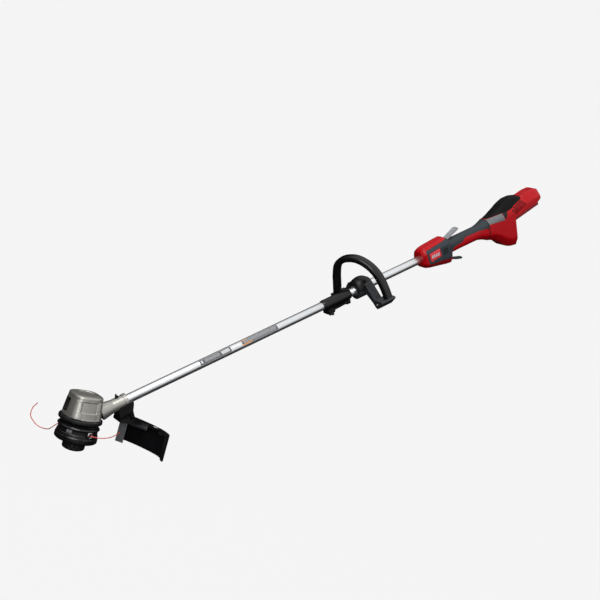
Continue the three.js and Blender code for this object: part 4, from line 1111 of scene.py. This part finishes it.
def make_light(name, place, target, size, power, colour=(1, 1, 1)):
    data = bpy.data.lights.new(name, "AREA")
    data.shape = "RECTANGLE"
    data.size, data.size_y = size
    data.energy = power
    data.color = colour
    lamp = bpy.data.objects.new(name, data)
    direction = Vector(target) - Vector(place)
    lamp.matrix_world = Matrix.Translation(place) @ direction.to_track_quat("-Z", "Y").to_matrix().to_4x4()
    link(lamp)


def make_studio():
    scene = bpy.context.scene
    scene.view_settings.view_transform = "Standard"
    world = bpy.data.worlds.new("studio")
    world.use_nodes = True
    tree = world.node_tree
    direction = tree.nodes.new("ShaderNodeTexCoord")
    facing = tree.nodes.new("ShaderNodeVectorMath")
    facing.operation = "DOT_PRODUCT"
    facing.inputs[1].default_value = Vector((-0.12, -0.52, 0.84)).normalized()
    ramp = tree.nodes.new("ShaderNodeValToRGB")
    stops = ((0.0, 0.015), (0.12, 0.05), (0.3, 0.42), (0.55, 0.85), (1.0, 1.0))
    while len(ramp.color_ramp.elements) < len(stops):
        ramp.color_ramp.elements.new(0.5)
    for element, (position, value) in zip(ramp.color_ramp.elements, stops):
        element.position = position
        element.color = (value, value, value, 1)
    tree.links.new(direction.outputs["Generated"], facing.inputs[0])
    tree.links.new(facing.outputs["Value"], ramp.inputs["Fac"])
    tree.links.new(ramp.outputs["Color"], tree.nodes["Background"].inputs["Color"])
    tree.nodes["Background"].inputs["Strength"].default_value = 1.0
    scene.world = world

    sweep = turned("studio_floor", rounded([(0, -72), (12000, -72), (12000, 9000), (11990, 9000), (11990, -62),
                                            (0, -62)],
                                           3000, 12, False), 96)
    paper = bpy.data.materials.new("floor_paper")
    paper.use_nodes = True
    tree = paper.node_tree
    shader = tree.nodes["Principled BSDF"]
    shader.inputs["Roughness"].default_value = 1.0
    shader.inputs["Specular IOR Level"].default_value = 0.0
    shader.inputs["Emission Color"].default_value = (0.9, 0.9, 0.9, 1)
    shader.inputs["Emission Strength"].default_value = 1.0
    noise = tree.nodes.new("ShaderNodeTexNoise")
    noise.inputs["Scale"].default_value = 2.0
    ramp = tree.nodes.new("ShaderNodeValToRGB")
    ramp.color_ramp.elements[0].color = (0.008, 0.008, 0.008, 1)
    ramp.color_ramp.elements[1].color = (0.012, 0.012, 0.012, 1)
    tree.links.new(noise.outputs["Fac"], ramp.inputs["Fac"])
    tree.links.new(ramp.outputs["Color"], shader.inputs["Base Color"])
    sweep.data.materials.append(paper)
    sweep.visible_diffuse = False
    sweep.visible_glossy = False
    sweep.visible_transmission = False
    sweep.visible_shadow = False

    make_light("key", (-1.4, -1.6, 3.2), (0.6, 0, 0.5), (2.6, 1.6), 60)
    make_light("side", (-2.2, -2.6, 0.9), (0.5, 0, 0.4), (1.0, 2.4), 22)


# ---------------- build

make_camera()
MATERIALS.update(make_materials())
for frame_now, makers in ((WORLD, (make_lines, make_motor_housing, make_spool_head, make_guard)),
                          (BOOM, (make_boom, make_handle, make_front, make_rear)),
                          (WORLD, (make_insides, make_studio))):
    for make in makers:
        make()
